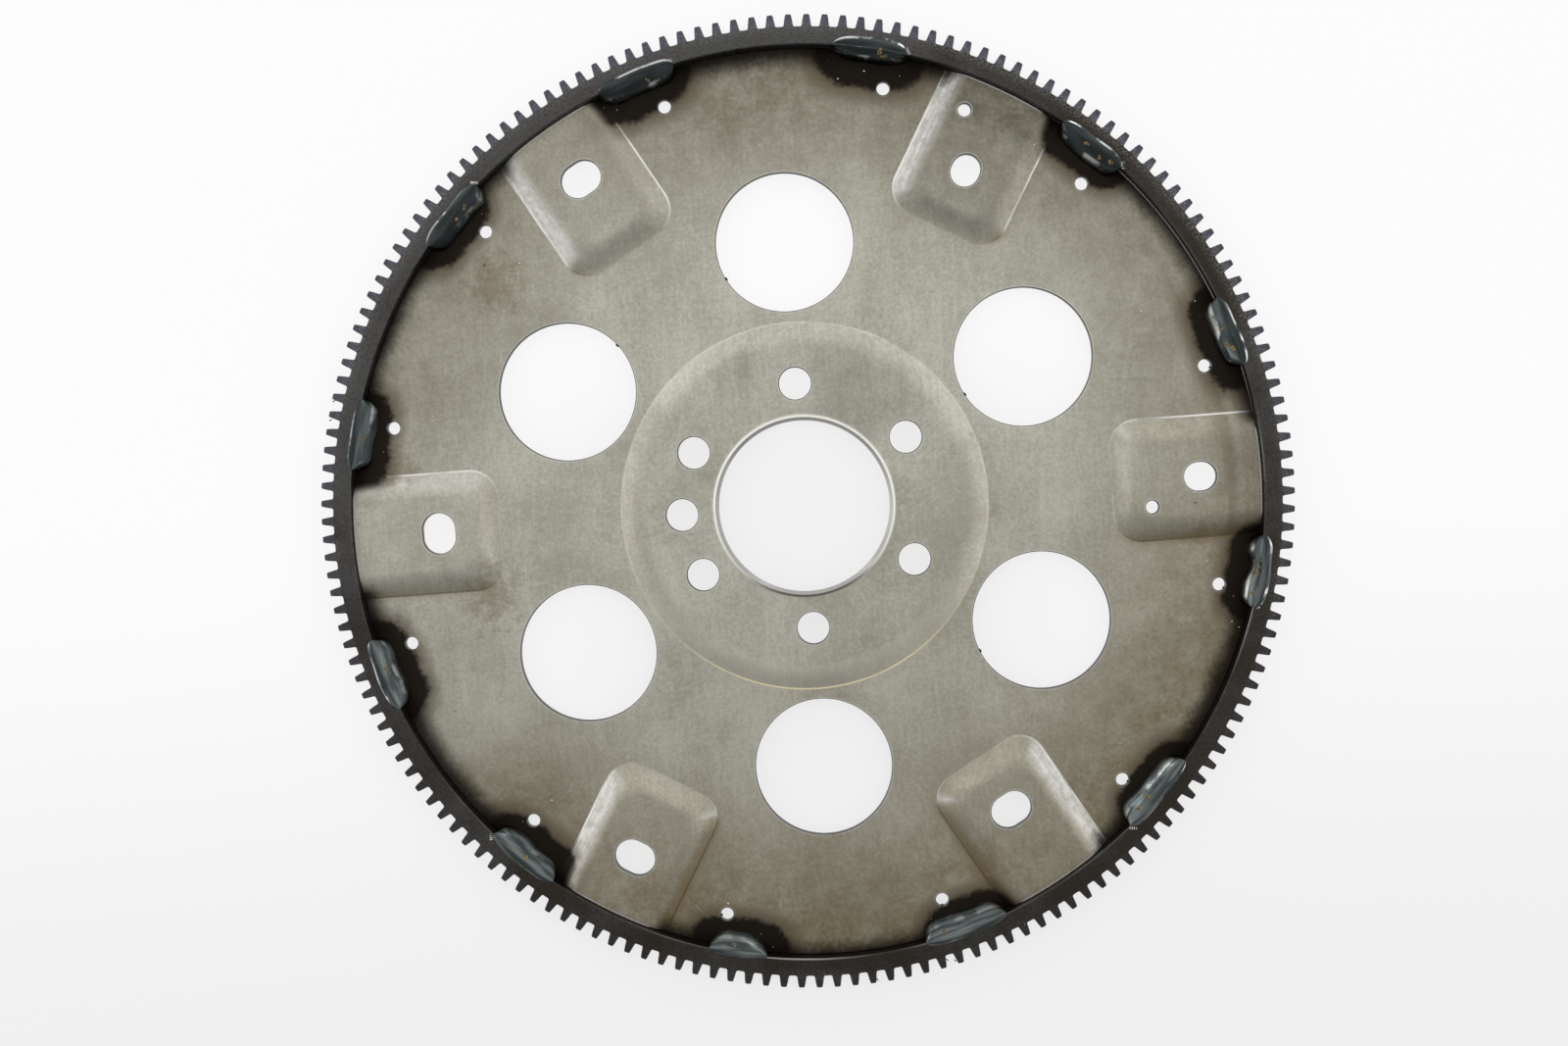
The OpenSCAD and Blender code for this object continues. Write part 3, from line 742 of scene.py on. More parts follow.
holes = [Hole(PILOT_R, count=192)]
holes[0].bevel = PILOT_BEVEL
for k in range(PAD_COUNT):
    middle = (k + 0.5) * PAD_STEP
    holes.append(Hole(WINDOW_HOLE_R, WINDOW_R, middle, count=120))
    holes.append(Hole(CRANK_HOLE_R, CRANK_R, middle))
    on_outer = k % 2 == 0
    reach = OUTER_CIRCLE_R if on_outer else INNER_CIRCLE_R
    if k < 2:
        holes.append(Hole(KEY_HOLE_R, reach, k * PAD_STEP, KEY_STRETCH, count=52))
    else:
        holes.append(Hole(OVAL_HOLE_R, reach, k * PAD_STEP, OVAL_STRETCH, math.pi / 2, count=56))
holes.append(Hole(CRANK_HOLE_R, CRANK_R, math.pi))
holes.append(Hole(TOOLING_HOLE_R, OUTER_CIRCLE_R - GAUGE_IN, 0, sideways=-GAUGE_SIDE, count=28))
holes.append(Hole(TOOLING_HOLE_R, INNER_CIRCLE_R + GAUGE_OUT, PAD_STEP, sideways=GAUGE_SIDE, count=28))
for k in range(TOOLING_COUNT):
    holes.append(Hole(TOOLING_HOLE_R, TOOLING_R, PAD_STEP / 4 + k * math.tau / TOOLING_COUNT, count=28))
print("holes in the blank:", len(holes))

# %% [markdown]
# One formula gives the height of the pressed sheet at any point of the plan. The ramp of the hub depends
# on the radius alone. A pad's ramp is a family of rounded outlines from its foot to its shoulder, and the
# formula looks for the one that passes through the point. A thin lip stands round the bevel of the pilot
# bore.

# %% Height of the pressed sheet
END_SOFTNESS, HALVINGS = 0.6, 20


def pad_outline(share):
    """Half width, inner end and corner radius of a pad's outline at a share of its ramp."""
    corner = PAD_CORNER + (PAD_TOP_CORNER - PAD_CORNER) * share
    return PAD_WIDTH / 2 - PAD_RAMP * share, PAD_START + PAD_END_RAMP * share, corner


def pad_place(x, y):
    """Distance of a point out along the nearest pad, and to the side of the pad's middle line."""
    turn = np.round(np.arctan2(y, x) / PAD_STEP) * PAD_STEP
    return x * np.cos(turn) + y * np.sin(turn), np.abs(-x * np.sin(turn) + y * np.cos(turn))


def pad_inside(x, y, share=0.0):
    """Distance from an outline of the nearest pad, positive on the pad's side of it."""
    out, side = pad_place(x, y)
    half, start, corner = pad_outline(share)
    back, over = start + corner - out, side - half + corner
    beyond = np.hypot(np.maximum(back, 0), np.maximum(over, 0))
    return corner - beyond - np.minimum(np.maximum(back, over), 0)


def pad_share(x, y):
    """Share of the ramp that a point has climbed, found by halving the range again and again."""
    low, high = np.zeros_like(x), np.ones_like(x)
    for _ in range(HALVINGS):
        middle = (low + high) / 2
        climbed = pad_inside(x, y, middle) > 0
        low, high = np.where(climbed, middle, low), np.where(climbed, high, middle)
    return np.where(pad_inside(x, y, 1.0) > 0, 1.0, np.where(pad_inside(x, y) < 0, 0.0, low))


def firm_ramp(share):
    """A stamped ramp with a crisp foot, a straight flank and a round shoulder."""
    u = np.clip(share, 0, 1)
    return np.where(u < 0.5, u, u - (u - 0.5) ** 2) / 0.75


def soft_ramp(share):
    """A ramp that is soft at both ends, like the inner end of a pad."""
    u = np.clip(share, 0, 1)
    return u * u * (3 - 2 * u)


def pressed(x, y):
    """Height of the sheet's upper face."""
    reach = np.hypot(x, y)
    hub = HUB_RISE * np.sin(np.clip((HUB_FOOT_R - reach) / HUB_RAMP, 0, 1) * math.pi / 2)
    lip = LIP_RISE * np.exp(-(((reach - LIP_R) / LIP_SPREAD) ** 2))
    out, side = pad_place(x, y)
    half, start, _ = pad_outline(0.0)
    from_side = np.maximum(half - side, 0) / PAD_RAMP
    from_end = np.maximum(out - start, 0) / PAD_END_RAMP
    soft = END_SOFTNESS * from_side ** 2 / (from_side ** 2 + from_end ** 2 + 1e-9)
    share = pad_share(x, y)
    pad = PAD_RISE * (firm_ramp(share) * (1 - soft) + soft_ramp(share) * soft)
    return WEB_TOP + lip + np.maximum(hub, pad)


print("pad top at", round(float(pressed(np.array(130.0), np.array(0.0))), 2), "mm")

# %% [markdown]
# The ramps need rows of points that follow them, or their soft shoulders would look chopped. Each row is
# a line of equal distance from the foot. Close rows beside the foot and the holes act as guards: they
# keep the smooth shading of a ramp or a bevel from leaking into the flat sheet. A row that would run
# through a hole is split there, because a crossing would cut the outline of the hole and leave the mesh
# open.

# %% Rows along the ramps
LINE_GUARD = 0.35
RAMP_SHARES = [-0.05, 0.0, 0.05, 0.13, 0.22, 0.32, 0.43, 0.55, 0.67, 0.78, 0.88, 0.95, 1.0, 1.07]
LIP_ROWS = [33.15, 33.4, 33.7, 34.0, 34.4, 34.9]
HUB_ROWS = [-LINE_GUARD, 0.0, LINE_GUARD, 1.0, 2.0, 3.1, 4.2, 5.3, 6.4, 7.3, 8.1, 8.7, 9.4]
FILL_STEP, FILL_IN, FILL_OUT = 5.0, 4.0, 3.0
ROW_GAP, RIM_GAP, SIDE_STEP, END_STEP, CORNER_STEPS = 1.4, 1.6, 3.0, 2.5, 10
RIM_POINTS, HUB_POINTS = 720, 240


def pad_row(share):
    """Points of one outline of a pad that lies on +X, from the rim along one side and back."""
    half, start, corner = pad_outline(share)
    far = math.sqrt((RIM_R - RIM_GAP) ** 2 - half ** 2)
    run = [(x, half) for x in np.arange(far, start + corner, -SIDE_STEP)]
    turns = [math.pi / 2 * (1 + k / CORNER_STEPS) for k in range(CORNER_STEPS + 1)]
    run += [(start + corner + corner * math.cos(t), half - corner + corner * math.sin(t)) for t in turns]
    run += [(start, y) for y in np.arange(half - corner - END_STEP, 0, -END_STEP)]
    return run + [(x, -y) for x, y in reversed(run)]


def clear_runs(points):
    """Splits a row into the runs of it that stay clear of the holes."""
    run = []
    for point in points:
        if any(hole.holds(*point, ROW_GAP) for hole in holes):
            if run:
                yield run
            run = []
        else:
            run.append(point)
    yield run


plan, edges, loops = [], [], []


def add_row(points, closed):
    """Adds a row of points to the plan, joined by fixed edges, and returns their numbers."""
    first = len(plan)
    plan.extend(points)
    numbers = list(range(first, len(plan)))
    edges.extend(zip(numbers, numbers[1:]))
    if closed:
        edges.append((numbers[-1], numbers[0]))
    return numbers


rim_loop = add_row(ring_points(RIM_R - EDGE_BEVEL, RIM_POINTS), True)
add_row(ring_points(RIM_R - EDGE_GUARD, RIM_POINTS), True)
loops.append((rim_loop, None))
for hole in holes:
    loops.append((add_row(hole.grown(hole.bevel), True), hole))
    if hole is not holes[0]:
        add_row(hole.grown(hole.bevel + EDGE_GUARD - EDGE_BEVEL), True)
lip_rows = [add_row(ring_points(radius, holes[0].count), True) for radius in LIP_ROWS]
for inside in HUB_ROWS:
    add_row(ring_points(HUB_FOOT_R - inside, HUB_POINTS), True)
for k in range(PAD_COUNT):
    c, s = math.cos(k * PAD_STEP), math.sin(k * PAD_STEP)
    for share in RAMP_SHARES:
        for run in clear_runs([(x * c - y * s, x * s + y * c) for x, y in pad_row(share)]):
            add_row(run, False)
for x in np.arange(-RIM_R, RIM_R, FILL_STEP):
    for y in np.arange(-RIM_R, RIM_R, FILL_STEP):
        r = math.hypot(x, y)
        if PILOT_R + FILL_IN < r < RIM_R - FILL_OUT and not any(h.holds(x, y) for h in holes):
            plan.append((x, y))
print("points laid out:", len(plan), "fixed edges:", len(edges))

# %% [markdown]
# The triangulation fills the whole blank, holes too, so triangles whose middle lies in a hole are
# dropped. It also merges points that coincide, and the table called new_number says where each point of
# the plan went.

# %% Triangulate the blank
COINCIDE, SLACK = 1e-4, 0.01

spread = delaunay_2d_cdt([Vector(p) for p in plan], edges, [], 0, COINCIDE, True)
flat = np.array([v[:] for v in spread[0]])
came_from = spread[3]
triangles = np.array([f[:] for f in spread[2]])
middle = flat[triangles].mean(1)
keep = np.hypot(middle[:, 0], middle[:, 1]) < RIM_R - EDGE_BEVEL
for hole in holes:
    keep &= ~hole.holds(middle[:, 0], middle[:, 1], hole.bevel - SLACK)
triangles = triangles[keep]
new_number = {old: new for new, olds in enumerate(came_from) for old in olds}
print("points in plan:", len(flat), "triangles on the upper face:", len(triangles))

# %% [markdown]
# The two faces of the sheet are the same triangles, one turned over and lower by the sheet's thickness.
# Two marks travel with the points to the material: fold, which says how the nearest ramp faces and how
# far inside its foot a point lies, and hole_rim, which is one on the edges of the holes and fades out
# over the lip of the pilot bore.

# %% Both faces of the sheet, and their marks
LIP_SHINE = (1.0, 1.0, 0.8, 0.3)
FAR_OUTSIDE, FAR_INSIDE = -6.0, 12.0


def fold_mark(x, y):
    """Which way the nearest ramp faces, in plan, and how far inside its foot the point lies, in mm."""
    tiny = 0.01
    pad = pad_inside(x, y)
    fall_x = pad_inside(x - tiny, y) - pad_inside(x + tiny, y)
    fall_y = pad_inside(x, y - tiny) - pad_inside(x, y + tiny)
    length = np.maximum(np.hypot(fall_x, fall_y), 1e-9)
    reach = np.hypot(x, y)
    hub = HUB_FOOT_R - reach
    on_hub = np.abs(hub) < np.abs(pad)
    faces_x = np.where(on_hub, x / reach, fall_x / length)
    faces_y = np.where(on_hub, y / reach, fall_y / length)
    return np.c_[faces_x, faces_y, np.clip(np.where(on_hub, hub, pad), FAR_OUTSIDE, FAR_INSIDE)]


top_z = pressed(flat[:, 0], flat[:, 1])
count = len(flat)
points = [tuple(p) for p in np.vstack([np.c_[flat, top_z], np.c_[flat, top_z - SHEET]])]
faces = [tuple(t) for t in triangles] + [tuple(t[::-1] + count) for t in triangles]
marks = np.tile(fold_mark(flat[:, 0], flat[:, 1]), (2, 1)).tolist()
rims = np.zeros(len(points))
for loop, hole in loops:
    if hole is not None:
        rims[[new_number[k] for k in loop]] = 1.0
for row, share in zip(lip_rows, LIP_SHINE):
    rims[[new_number[k] for k in row]] = share
print("points of both faces:", len(points))

# %% [markdown]
# Round each hole and round the rim, a bevel and a wall join the two faces. The bevel of the pilot bore
# and the walls of the holes get material slots of their own, and the rim keeps the finish of the sheet.

# %% Walls of the holes and of the rim
SHEET_SLOT, TURNED_SLOT, SHEARED_SLOT = 0, 1, 2
slots = [SHEET_SLOT] * len(faces)


def add_points(outline, heights):
    """Adds a closed row of points to the mesh, without a fold, and returns their numbers."""
    first = len(points)
    points.extend((x, y, z) for (x, y), z in zip(outline, heights))
    marks.extend([(0.0, 0.0, FAR_OUTSIDE)] * len(outline))
    return range(first, len(points))


for loop, hole in loops:
    upper_edge = [new_number[k] for k in loop]
    lower_edge = [n + count for n in upper_edge]
    inward = hole is not None
    bevel = hole.bevel if inward else EDGE_BEVEL
    edge = hole.grown(0) if inward else ring_points(RIM_R, len(loop))
    rows = [upper_edge, add_points(edge, [top_z[n] - bevel for n in upper_edge])]
    rows.append(add_points(edge, [top_z[n] - SHEET + EDGE_BEVEL for n in upper_edge]))
    if hole is holes[0]:
        rows.append(add_points(hole.grown(EDGE_BEVEL), [top_z[n] - SHEET for n in upper_edge]))
    rows.append(lower_edge)
    for level, (upper, lower) in enumerate(zip(rows, rows[1:])):
        turned = hole is holes[0] and level == 0
        for k in range(len(loop)):
            n = (k + 1) % len(loop)
            face = (upper[k], upper[n], lower[n], lower[k])
            faces.append(face if inward else face[::-1])
            slots.append(SHEET_SLOT if not inward else TURNED_SLOT if turned else SHEARED_SLOT)
print("faces of the closed sheet:", len(faces))

# %% [markdown]
# The mesh takes its marks, its materials and its slots. Then loose points go, every face is turned
# outwards, and edges sharper than a small angle stay sharp in the shading. Weighted normals give the
# large flat faces the say over the small ones beside them, so the web looks flat up to the foot of a
# ramp.


# %% Make the disc
def close_mesh(mesh, sharp_angle):
    """Drops loose points, turns the faces outwards, shades smooth up to an angle, counts open edges."""
    worker = bmesh.new()
    worker.from_mesh(mesh)
    loose = [v for v in worker.verts if not v.link_faces]
    bmesh.ops.delete(worker, geom=loose, context="VERTS")
    bmesh.ops.recalc_face_normals(worker, faces=worker.faces)
    open_edges = sum(1 for e in worker.edges if len(e.link_faces) != 2)
    worker.to_mesh(mesh)
    worker.free()
    mesh.polygons.foreach_set("use_smooth", [True] * len(mesh.polygons))
    mesh.set_sharp_from_angle(angle=math.radians(sharp_angle))
    return open_edges


disc_mesh = bpy.data.meshes.new("stamped_disc_sheet")
disc_mesh.from_pydata([tuple(MM * v for v in p) for p in points], [], faces)
disc_mesh.attributes.new("fold", "FLOAT_VECTOR", "POINT").data.foreach_set("vector", np.ravel(marks))
rims = np.pad(rims, (0, len(points) - len(rims)))
disc_mesh.attributes.new("hole_rim", "FLOAT", "POINT").data.foreach_set("value", rims.tolist())
for material in (bare_steel, turned_steel, wall_shade_steel):
    disc_mesh.materials.append(material)
disc_mesh.polygons.foreach_set("material_index", slots)
open_edges = close_mesh(disc_mesh, 17)
disc = bpy.data.objects.new("stamped_disc_sheet", disc_mesh)
scene.collection.objects.link(disc)
weigh = disc.modifiers.new("weigh", "WEIGHTED_NORMAL")
weigh.keep_sharp = True
weigh.weight = 80
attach(disc, "root")
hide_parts("stamped_disc")
print("disc faces:", len(disc_mesh.polygons), "open edges:", open_edges)

# %% [markdown]
# ## Finish of the ring gear
# The ring is hardened and oiled, so it is nearly black with a faint purple cast on its teeth. The cast is
# painted lighter and stronger towards the upper side of the picture, a painted sheen from the bright side
# of the room. The ring is also darker towards the lower side of the picture. Radial smears of oil are
# noise that is stretched along the radius: angle is one coordinate and radius, much compressed, is the
# other.

# %% Material of the ring: oiled steel
RING_DARK, RING_GREY, TOOTH_TINT = (0.045, 0.039, 0.032), (0.096, 0.094, 0.092), (0.118, 0.118, 0.158)
OIL_SMEAR = (0.020, 0.017, 0.015)
RING_DARKER_SIDE, CUT_SIDE, TOOTH_SHEEN_SIDE = 290, 42, 90

dark_steel, tree, shader, place = new_material("dark_steel_ring")
metal = use_group(tree, steel_grain, Position=place, Streaks=0.2)
at = use_group(tree, rim_place, Position=place)
to_cut = towards(tree, place, CUT_SIDE)
tone = maths(tree, "MULTIPLY_ADD", metal["Patches"], 0.65, times(tree, metal["Grain"], 0.35))
tone = maths(tree, "ADD", tone, smooth(tree, towards(tree, place, RING_DARKER_SIDE), -150, 150, -0.09, 0.10))
tone = maths(tree, "ADD", tone, smooth(tree, to_cut, 145, 170, 0, 0.2))
colour = blend(tree, smooth(tree, tone, 0.36, 0.66), RING_GREY, RING_DARK)
round_place = {0: at["Angle"], 1: times(tree, at["Radius"], 0.02)}
round_place = add(tree, "ShaderNodeCombineXYZ", round_place).outputs[0]
smears = smooth(tree, noise(tree, round_place, 110, 4.0, 0.7), 0.48, 0.66)
on_teeth = smooth(tree, at["Radius"], ROOT_R - 0.5, ROOT_R + 0.8)
# The purple cast of the teeth, painted lighter towards the upper side as a painted sheen.
tint = times(tree, on_teeth, smooth(tree, towards(tree, place, TOOTH_SHEEN_SIDE), -120, 120, 0.1, 0.72))
colour = coat(tree, colour, (tint, 1, TOOTH_TINT), (smears, 0.6, OIL_SMEAR))
print("oiled steel:", len(tree.nodes), "nodes")

# %% [markdown]
# Where the cutter ran out at the roots of the teeth, bare metal shows in fine radial lines, but only on
# parts of the ring. The inner edge of the face carries a painted highlight on one side, and one stretch
# of the inner wall is painted light as a painted highlight. It is less metallic there, so that it takes
# up light as a rough surface would.

# %% Material of the ring: cutter marks and painted highlights
BARE_METAL_AND_HIGHLIGHT, WALL_HIGHLIGHT_SHARE = (0.45, 0.44, 0.42), 0.8
EDGE_HIGHLIGHT_SIDE, WALL_HIGHLIGHT_SIDE = 300, 30
FACE_EDGE = RING_WIDTH - RING_BEVEL

stretches = noise(tree, round_place, 1.3, 2.0)
lines = smooth(tree, noise(tree, round_place, 180, 3.0, 0.7), 0.5, 0.64)
bared = maths(tree, "MAXIMUM", smooth(tree, stretches, 0.47, 0.6, 0, 0.6), smooth(tree, to_cut, 135, 168))
cut = times(tree, lines, bared, between(tree, at["Radius"], 171.2, 174.8, 176.6, 179.0))
inner_edge_highlight = smooth(tree, at["Radius"], RING_INNER_R + 0.3, RING_INNER_R + 0.7, 1, 0)
inner_edge_highlight = times(tree, inner_edge_highlight, smooth(tree, at["Height"], FACE_EDGE - 0.05, FACE_EDGE + 0.05))
inner_edge_highlight = times(tree, inner_edge_highlight, smooth(tree, towards(tree, place, EDGE_HIGHLIGHT_SIDE), -40, 110))
inner_edge_highlight = times(tree, inner_edge_highlight, smooth(tree, stretches, 0.42, 0.58))
wall_highlight = smooth(tree, at["Radius"], RING_INNER_R + 0.05, RING_INNER_R + 0.1, WALL_HIGHLIGHT_SHARE, 0)
wall_highlight = times(tree, wall_highlight, smooth(tree, at["Height"], 6.4, 7.4, 1, 0))
wall_highlight = times(tree, wall_highlight, smooth(tree, towards(tree, place, WALL_HIGHLIGHT_SIDE), 150, 166))
colour = coat(
    tree,
    colour,
    (cut, 0.62, BARE_METAL_AND_HIGHLIGHT),
    (metal["Specks"], 0.6, BARE_METAL_AND_HIGHLIGHT),
    (inner_edge_highlight, 0.9, BARE_METAL_AND_HIGHLIGHT),
    (wall_highlight, 1, BARE_METAL_AND_HIGHLIGHT),
)
roughness = maths(tree, "MULTIPLY_ADD", metal["Grain"], 0.25, 0.32)
paint(tree, shader, colour, roughness, maths(tree, "SUBTRACT", 1.0, wall_highlight))
emboss(tree, shader, metal["Grain"], 0.12, 0.4)
print("material", dark_steel.name, "has", len(tree.nodes), "nodes")

# %% [markdown]
# ## The ring gear
# All teeth of a gear are alike, so only one pitch of the ring is drawn: a tooth with involute flanks, the
# piece of ring under it, and bevels on its upper and lower edges. Its two cut sides stay open. A Geometry
# Nodes tree then turns copies of it round the axis and welds their seams, as an array does, but with the
# number of teeth as an input.


# %% Outline of one pitch of the ring
def involute(a):
    """The involute function of an angle."""
    return math.tan(a) - a


def tooth_half_angle(r):
    """Half the angle that a tooth spans at radius r."""
    base = PITCH_R * math.cos(PRESSURE_ANGLE)
    return TOOTH_THICKNESS / PITCH_R / 2 + involute(PRESSURE_ANGLE) - involute(math.acos(base / r))


flank = [
    (ROOT_R, tooth_half_angle(ROOT_R) + FOOT_FILLET / ROOT_R),
    (ROOT_R + 0.3 * FOOT_FILLET, tooth_half_angle(ROOT_R) + 0.3 * FOOT_FILLET / ROOT_R),
    (ROOT_R + FOOT_FILLET, tooth_half_angle(ROOT_R + FOOT_FILLET)),
    (PITCH_R, tooth_half_angle(PITCH_R)),
    (TIP_R - TIP_BEVEL, tooth_half_angle(TIP_R - TIP_BEVEL)),
    (TIP_R, tooth_half_angle(TIP_R) - TIP_BEVEL / TIP_R),
]
half_pitch = math.pi / TOOTH_COUNT
outline = [(ROOT_R, -half_pitch)] + [(r, -a) for r, a in flank]
outline += [(r, a) for r, a in reversed(flank)] + [(ROOT_R, half_pitch)]
outline = [Vector((r * math.cos(a), r * math.sin(a))) for r, a in outline]


def inset(points, distance):
    """The outline moved into the metal. The two end points slide along the cut sides."""
    moved = []
    for k, p in enumerate(points):
        before = points[k] - points[k - 1] if k else points[1] - points[0]
        after = points[k + 1] - points[k] if k + 1 < len(points) else before
        normal = (before.normalized() + after.normalized()).normalized()
        normal = Vector((-normal.y, normal.x))
        if k in (0, len(points) - 1):
            normal = -p.normalized()
        moved.append(p + normal * distance)
    return moved


print("points in the outline of one pitch:", len(outline))

# %% [markdown]
# The outline becomes a solid in four levels: the two faces, drawn in by a bevel, and the two edges of the
# walls between them. The inner wall of the ring has a wider bevel.

# %% Solid of one pitch
TOOTH_BEVEL = 0.22
tight = inset(outline, TOOTH_BEVEL)
sides = (-half_pitch, 0, half_pitch)
inner = [Vector((RING_INNER_R * math.cos(a), RING_INNER_R * math.sin(a))) for a in sides]
inner_tight = [p * (1 + RING_BEVEL / RING_INNER_R) for p in inner]
levels = [(tight, 0.0), (outline, TOOTH_BEVEL), (outline, RING_WIDTH - TOOTH_BEVEL), (tight, RING_WIDTH)]
inner_levels = [(inner_tight, 0.0), (inner, RING_BEVEL)]
inner_levels += [(inner, RING_WIDTH - RING_BEVEL), (inner_tight, RING_WIDTH)]
pitch = bmesh.new()
outer_rows = [[pitch.verts.new((*(p * MM), z * MM)) for p in row] for row, z in levels]
inner_rows = [[pitch.verts.new((*(p * MM), z * MM)) for p in row] for row, z in inner_levels]
for rows, turned_over in ((outer_rows, False), (inner_rows, True)):
    for lower, upper in zip(rows, rows[1:]):
        for k in range(len(lower) - 1):
            face = [lower[k], lower[k + 1], upper[k + 1], upper[k]]
            pitch.faces.new(face[::-1] if turned_over else face)
pitch.faces.new(outer_rows[-1] + inner_rows[-1][::-1])
pitch.faces.new(outer_rows[0][::-1] + inner_rows[0])
pitch_mesh = bpy.data.meshes.new("one_pitch")
pitch.to_mesh(pitch_mesh)
pitch.free()
one_pitch = bpy.data.objects.new("one_pitch", pitch_mesh)
print("faces in one pitch:", len(pitch_mesh.polygons))

# %% [markdown]
# The tree makes one point per tooth, all of them on the axis, and turns each copy by its own number times
# the pitch angle. The copies are then made real, because an export drops instances, and merged where
# their seams meet.

# %% Turn the pitch round the axis with Geometry Nodes
SEAM = 0.02 * MM


def new_tree(name, inputs):
    """A Geometry Nodes tree with named inputs, and the identifiers of those inputs."""
    tree = bpy.data.node_groups.new(name, "GeometryNodeTree")
    tree.interface.new_socket("Geometry", in_out="INPUT", socket_type="NodeSocketGeometry")
    names = {}
    for label, kind in inputs:
        socket = tree.interface.new_socket(label, in_out="INPUT", socket_type="NodeSocket" + kind)
        names[label] = socket.identifier
    tree.interface.new_socket("Geometry", in_out="OUTPUT", socket_type="NodeSocketGeometry")
    given, result = tree.nodes.new("NodeGroupInput"), tree.nodes.new("NodeGroupOutput")
    return tree, names, given.outputs, result.inputs


def bake(name, tree, names, values, source=None):
    """Runs a tree on a source mesh and keeps its result as a plain mesh object."""
    carrier = bpy.data.objects.new(name, source or bpy.data.meshes.new(name + "_seed"))
    scene.collection.objects.link(carrier)
    modifier = carrier.modifiers.new("nodes", "NODES")
    modifier.node_group = tree
    for label, value in values.items():
        modifier[names[label]] = value
    graph = bpy.context.evaluated_depsgraph_get()
    mesh = bpy.data.meshes.new_from_object(carrier.evaluated_get(graph), depsgraph=graph)
    carrier.modifiers.clear()
    carrier.data = mesh
    mesh.name = name
    return carrier


tree, names, given, result = new_tree(
    "turned_copies", [("Pitch", "Object"), ("Teeth", "Int"), ("Turn", "Float"), ("Metal", "Material")]
)
tooth_points = add(tree, "GeometryNodeMeshLine", {"Count": given["Teeth"], "Offset": (0, 0, 0)}).outputs[0]
shape = add(tree, "GeometryNodeObjectInfo", {"Object": given["Pitch"]}).outputs["Geometry"]
number = add(tree, "GeometryNodeInputIndex").outputs[0]
step = maths(tree, "DIVIDE", math.tau, given["Teeth"])
turn = maths(tree, "MULTIPLY_ADD", number, step, given["Turn"])
rotation = add(tree, "ShaderNodeCombineXYZ", {2: turn}).outputs[0]
copies = {"Points": tooth_points, "Instance": shape, "Rotation": rotation}
copies = add(tree, "GeometryNodeInstanceOnPoints", copies).outputs[0]
real = add(tree, "GeometryNodeRealizeInstances", {0: copies}).outputs[0]
merged = add(tree, "GeometryNodeMergeByDistance", {"Geometry": real, "Distance": SEAM}).outputs[0]
painted = add(tree, "GeometryNodeSetMaterial", {"Geometry": merged, "Material": given["Metal"]}).outputs[0]
tree.links.new(painted, result[0])
values = {"Pitch": one_pitch, "Teeth": TOOTH_COUNT, "Turn": RING_TURN, "Metal": dark_steel}
ring = bake("ring_gear_teeth", tree, names, values)
open_edges = close_mesh(ring.data, 25)
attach(ring, "root")
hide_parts("ring_gear")
print("ring faces:", len(ring.data.polygons), "open edges:", open_edges)

# %% [markdown]
# ## Finish of the weld metal
# Weld metal cools under a skin of blue-black oxide that is as smooth as glass. It hardly shows a colour
# of its own: what one sees are glints of the room along its edges. So the material is dark, blue and
# glossy, with noise that is stretched along the bead by the bead's own UV map, because that is the way
# the metal flowed. The glints along the edges are painted into the colour as bright painted highlights,
# stronger on the upper and the right side of the picture, where the room is brighter. The body of the
# bead is painted paler towards the lower side of the picture, a painted sheen.

# %% Material: weld metal
WELD_DARK, WELD_PALE, WELD_GLINT = (0.036, 0.044, 0.044), (0.150, 0.168, 0.168), (0.90, 0.93, 0.92)
BEAD_RIDGE = 0.42

weld_metal, tree, shader, place = new_material("weld_metal")
bead_map = add(tree, "ShaderNodeUVMap", uv_map="flow").outputs[0]
across = add(tree, "ShaderNodeSeparateXYZ", {0: bead_map}).outputs["Y"]
rightward, backward = towards(tree, place, 0), towards(tree, place, 90)
flow = noise(tree, bead_map, 1.5, 2.0, 0.45, (1.3, 3.4, 1), 0.35)
skin = noise(tree, place, 420, 3.0)
pale_flow_and_sheen = times(tree, smooth(tree, flow, 0.38, 0.62, 0.15, 1.0), smooth(tree, backward, -100, 60, 1.0, 0.35))
# Glints along the bead's edges, painted into the colour as painted highlights.
edge = maths(tree, "ABSOLUTE", maths(tree, "SUBTRACT", across, BEAD_RIDGE))
edge = times(tree, smooth(tree, edge, 0.27, 0.33), smooth(tree, edge, 0.38, 0.46, 1, 0.25))
edge = times(tree, edge, smooth(tree, noise(tree, place, 110, 3.0), 0.46, 0.58))
edge = times(tree, edge, smooth(tree, backward, -140, -60, 0.3, 1.0))
edge = times(tree, edge, smooth(tree, rightward, -150, 0, 0.4, 1.0))
colour = coat(tree, blend(tree, pale_flow_and_sheen, WELD_DARK, WELD_PALE), (edge, 0.8, WELD_GLINT))
paint(tree, shader, colour, maths(tree, "MULTIPLY_ADD", skin, 0.22, 0.09))
emboss(tree, shader, maths(tree, "MULTIPLY_ADD", skin, 0.08, flow), 0.3, 0.6)
print("material", weld_metal.name, "has", len(tree.nodes), "nodes")

# %% [markdown]
# Slag is glassy mineral and not metal: brown and crumbly in its islands, black in their cores. Spatter is
# small drops of steel, some dark with oxide and some bare, so its two tones lie far apart.

# %% Materials: slag and spatter
SLAG_LIGHT, SLAG_DARK, SLAG_BLACK = (0.30, 0.20, 0.075), (0.05, 0.032, 0.016), (0.012, 0.010, 0.009, 1)
SPATTER_DARK, SPATTER_BRIGHT = (0.10, 0.098, 0.09), (0.80, 0.79, 0.75)

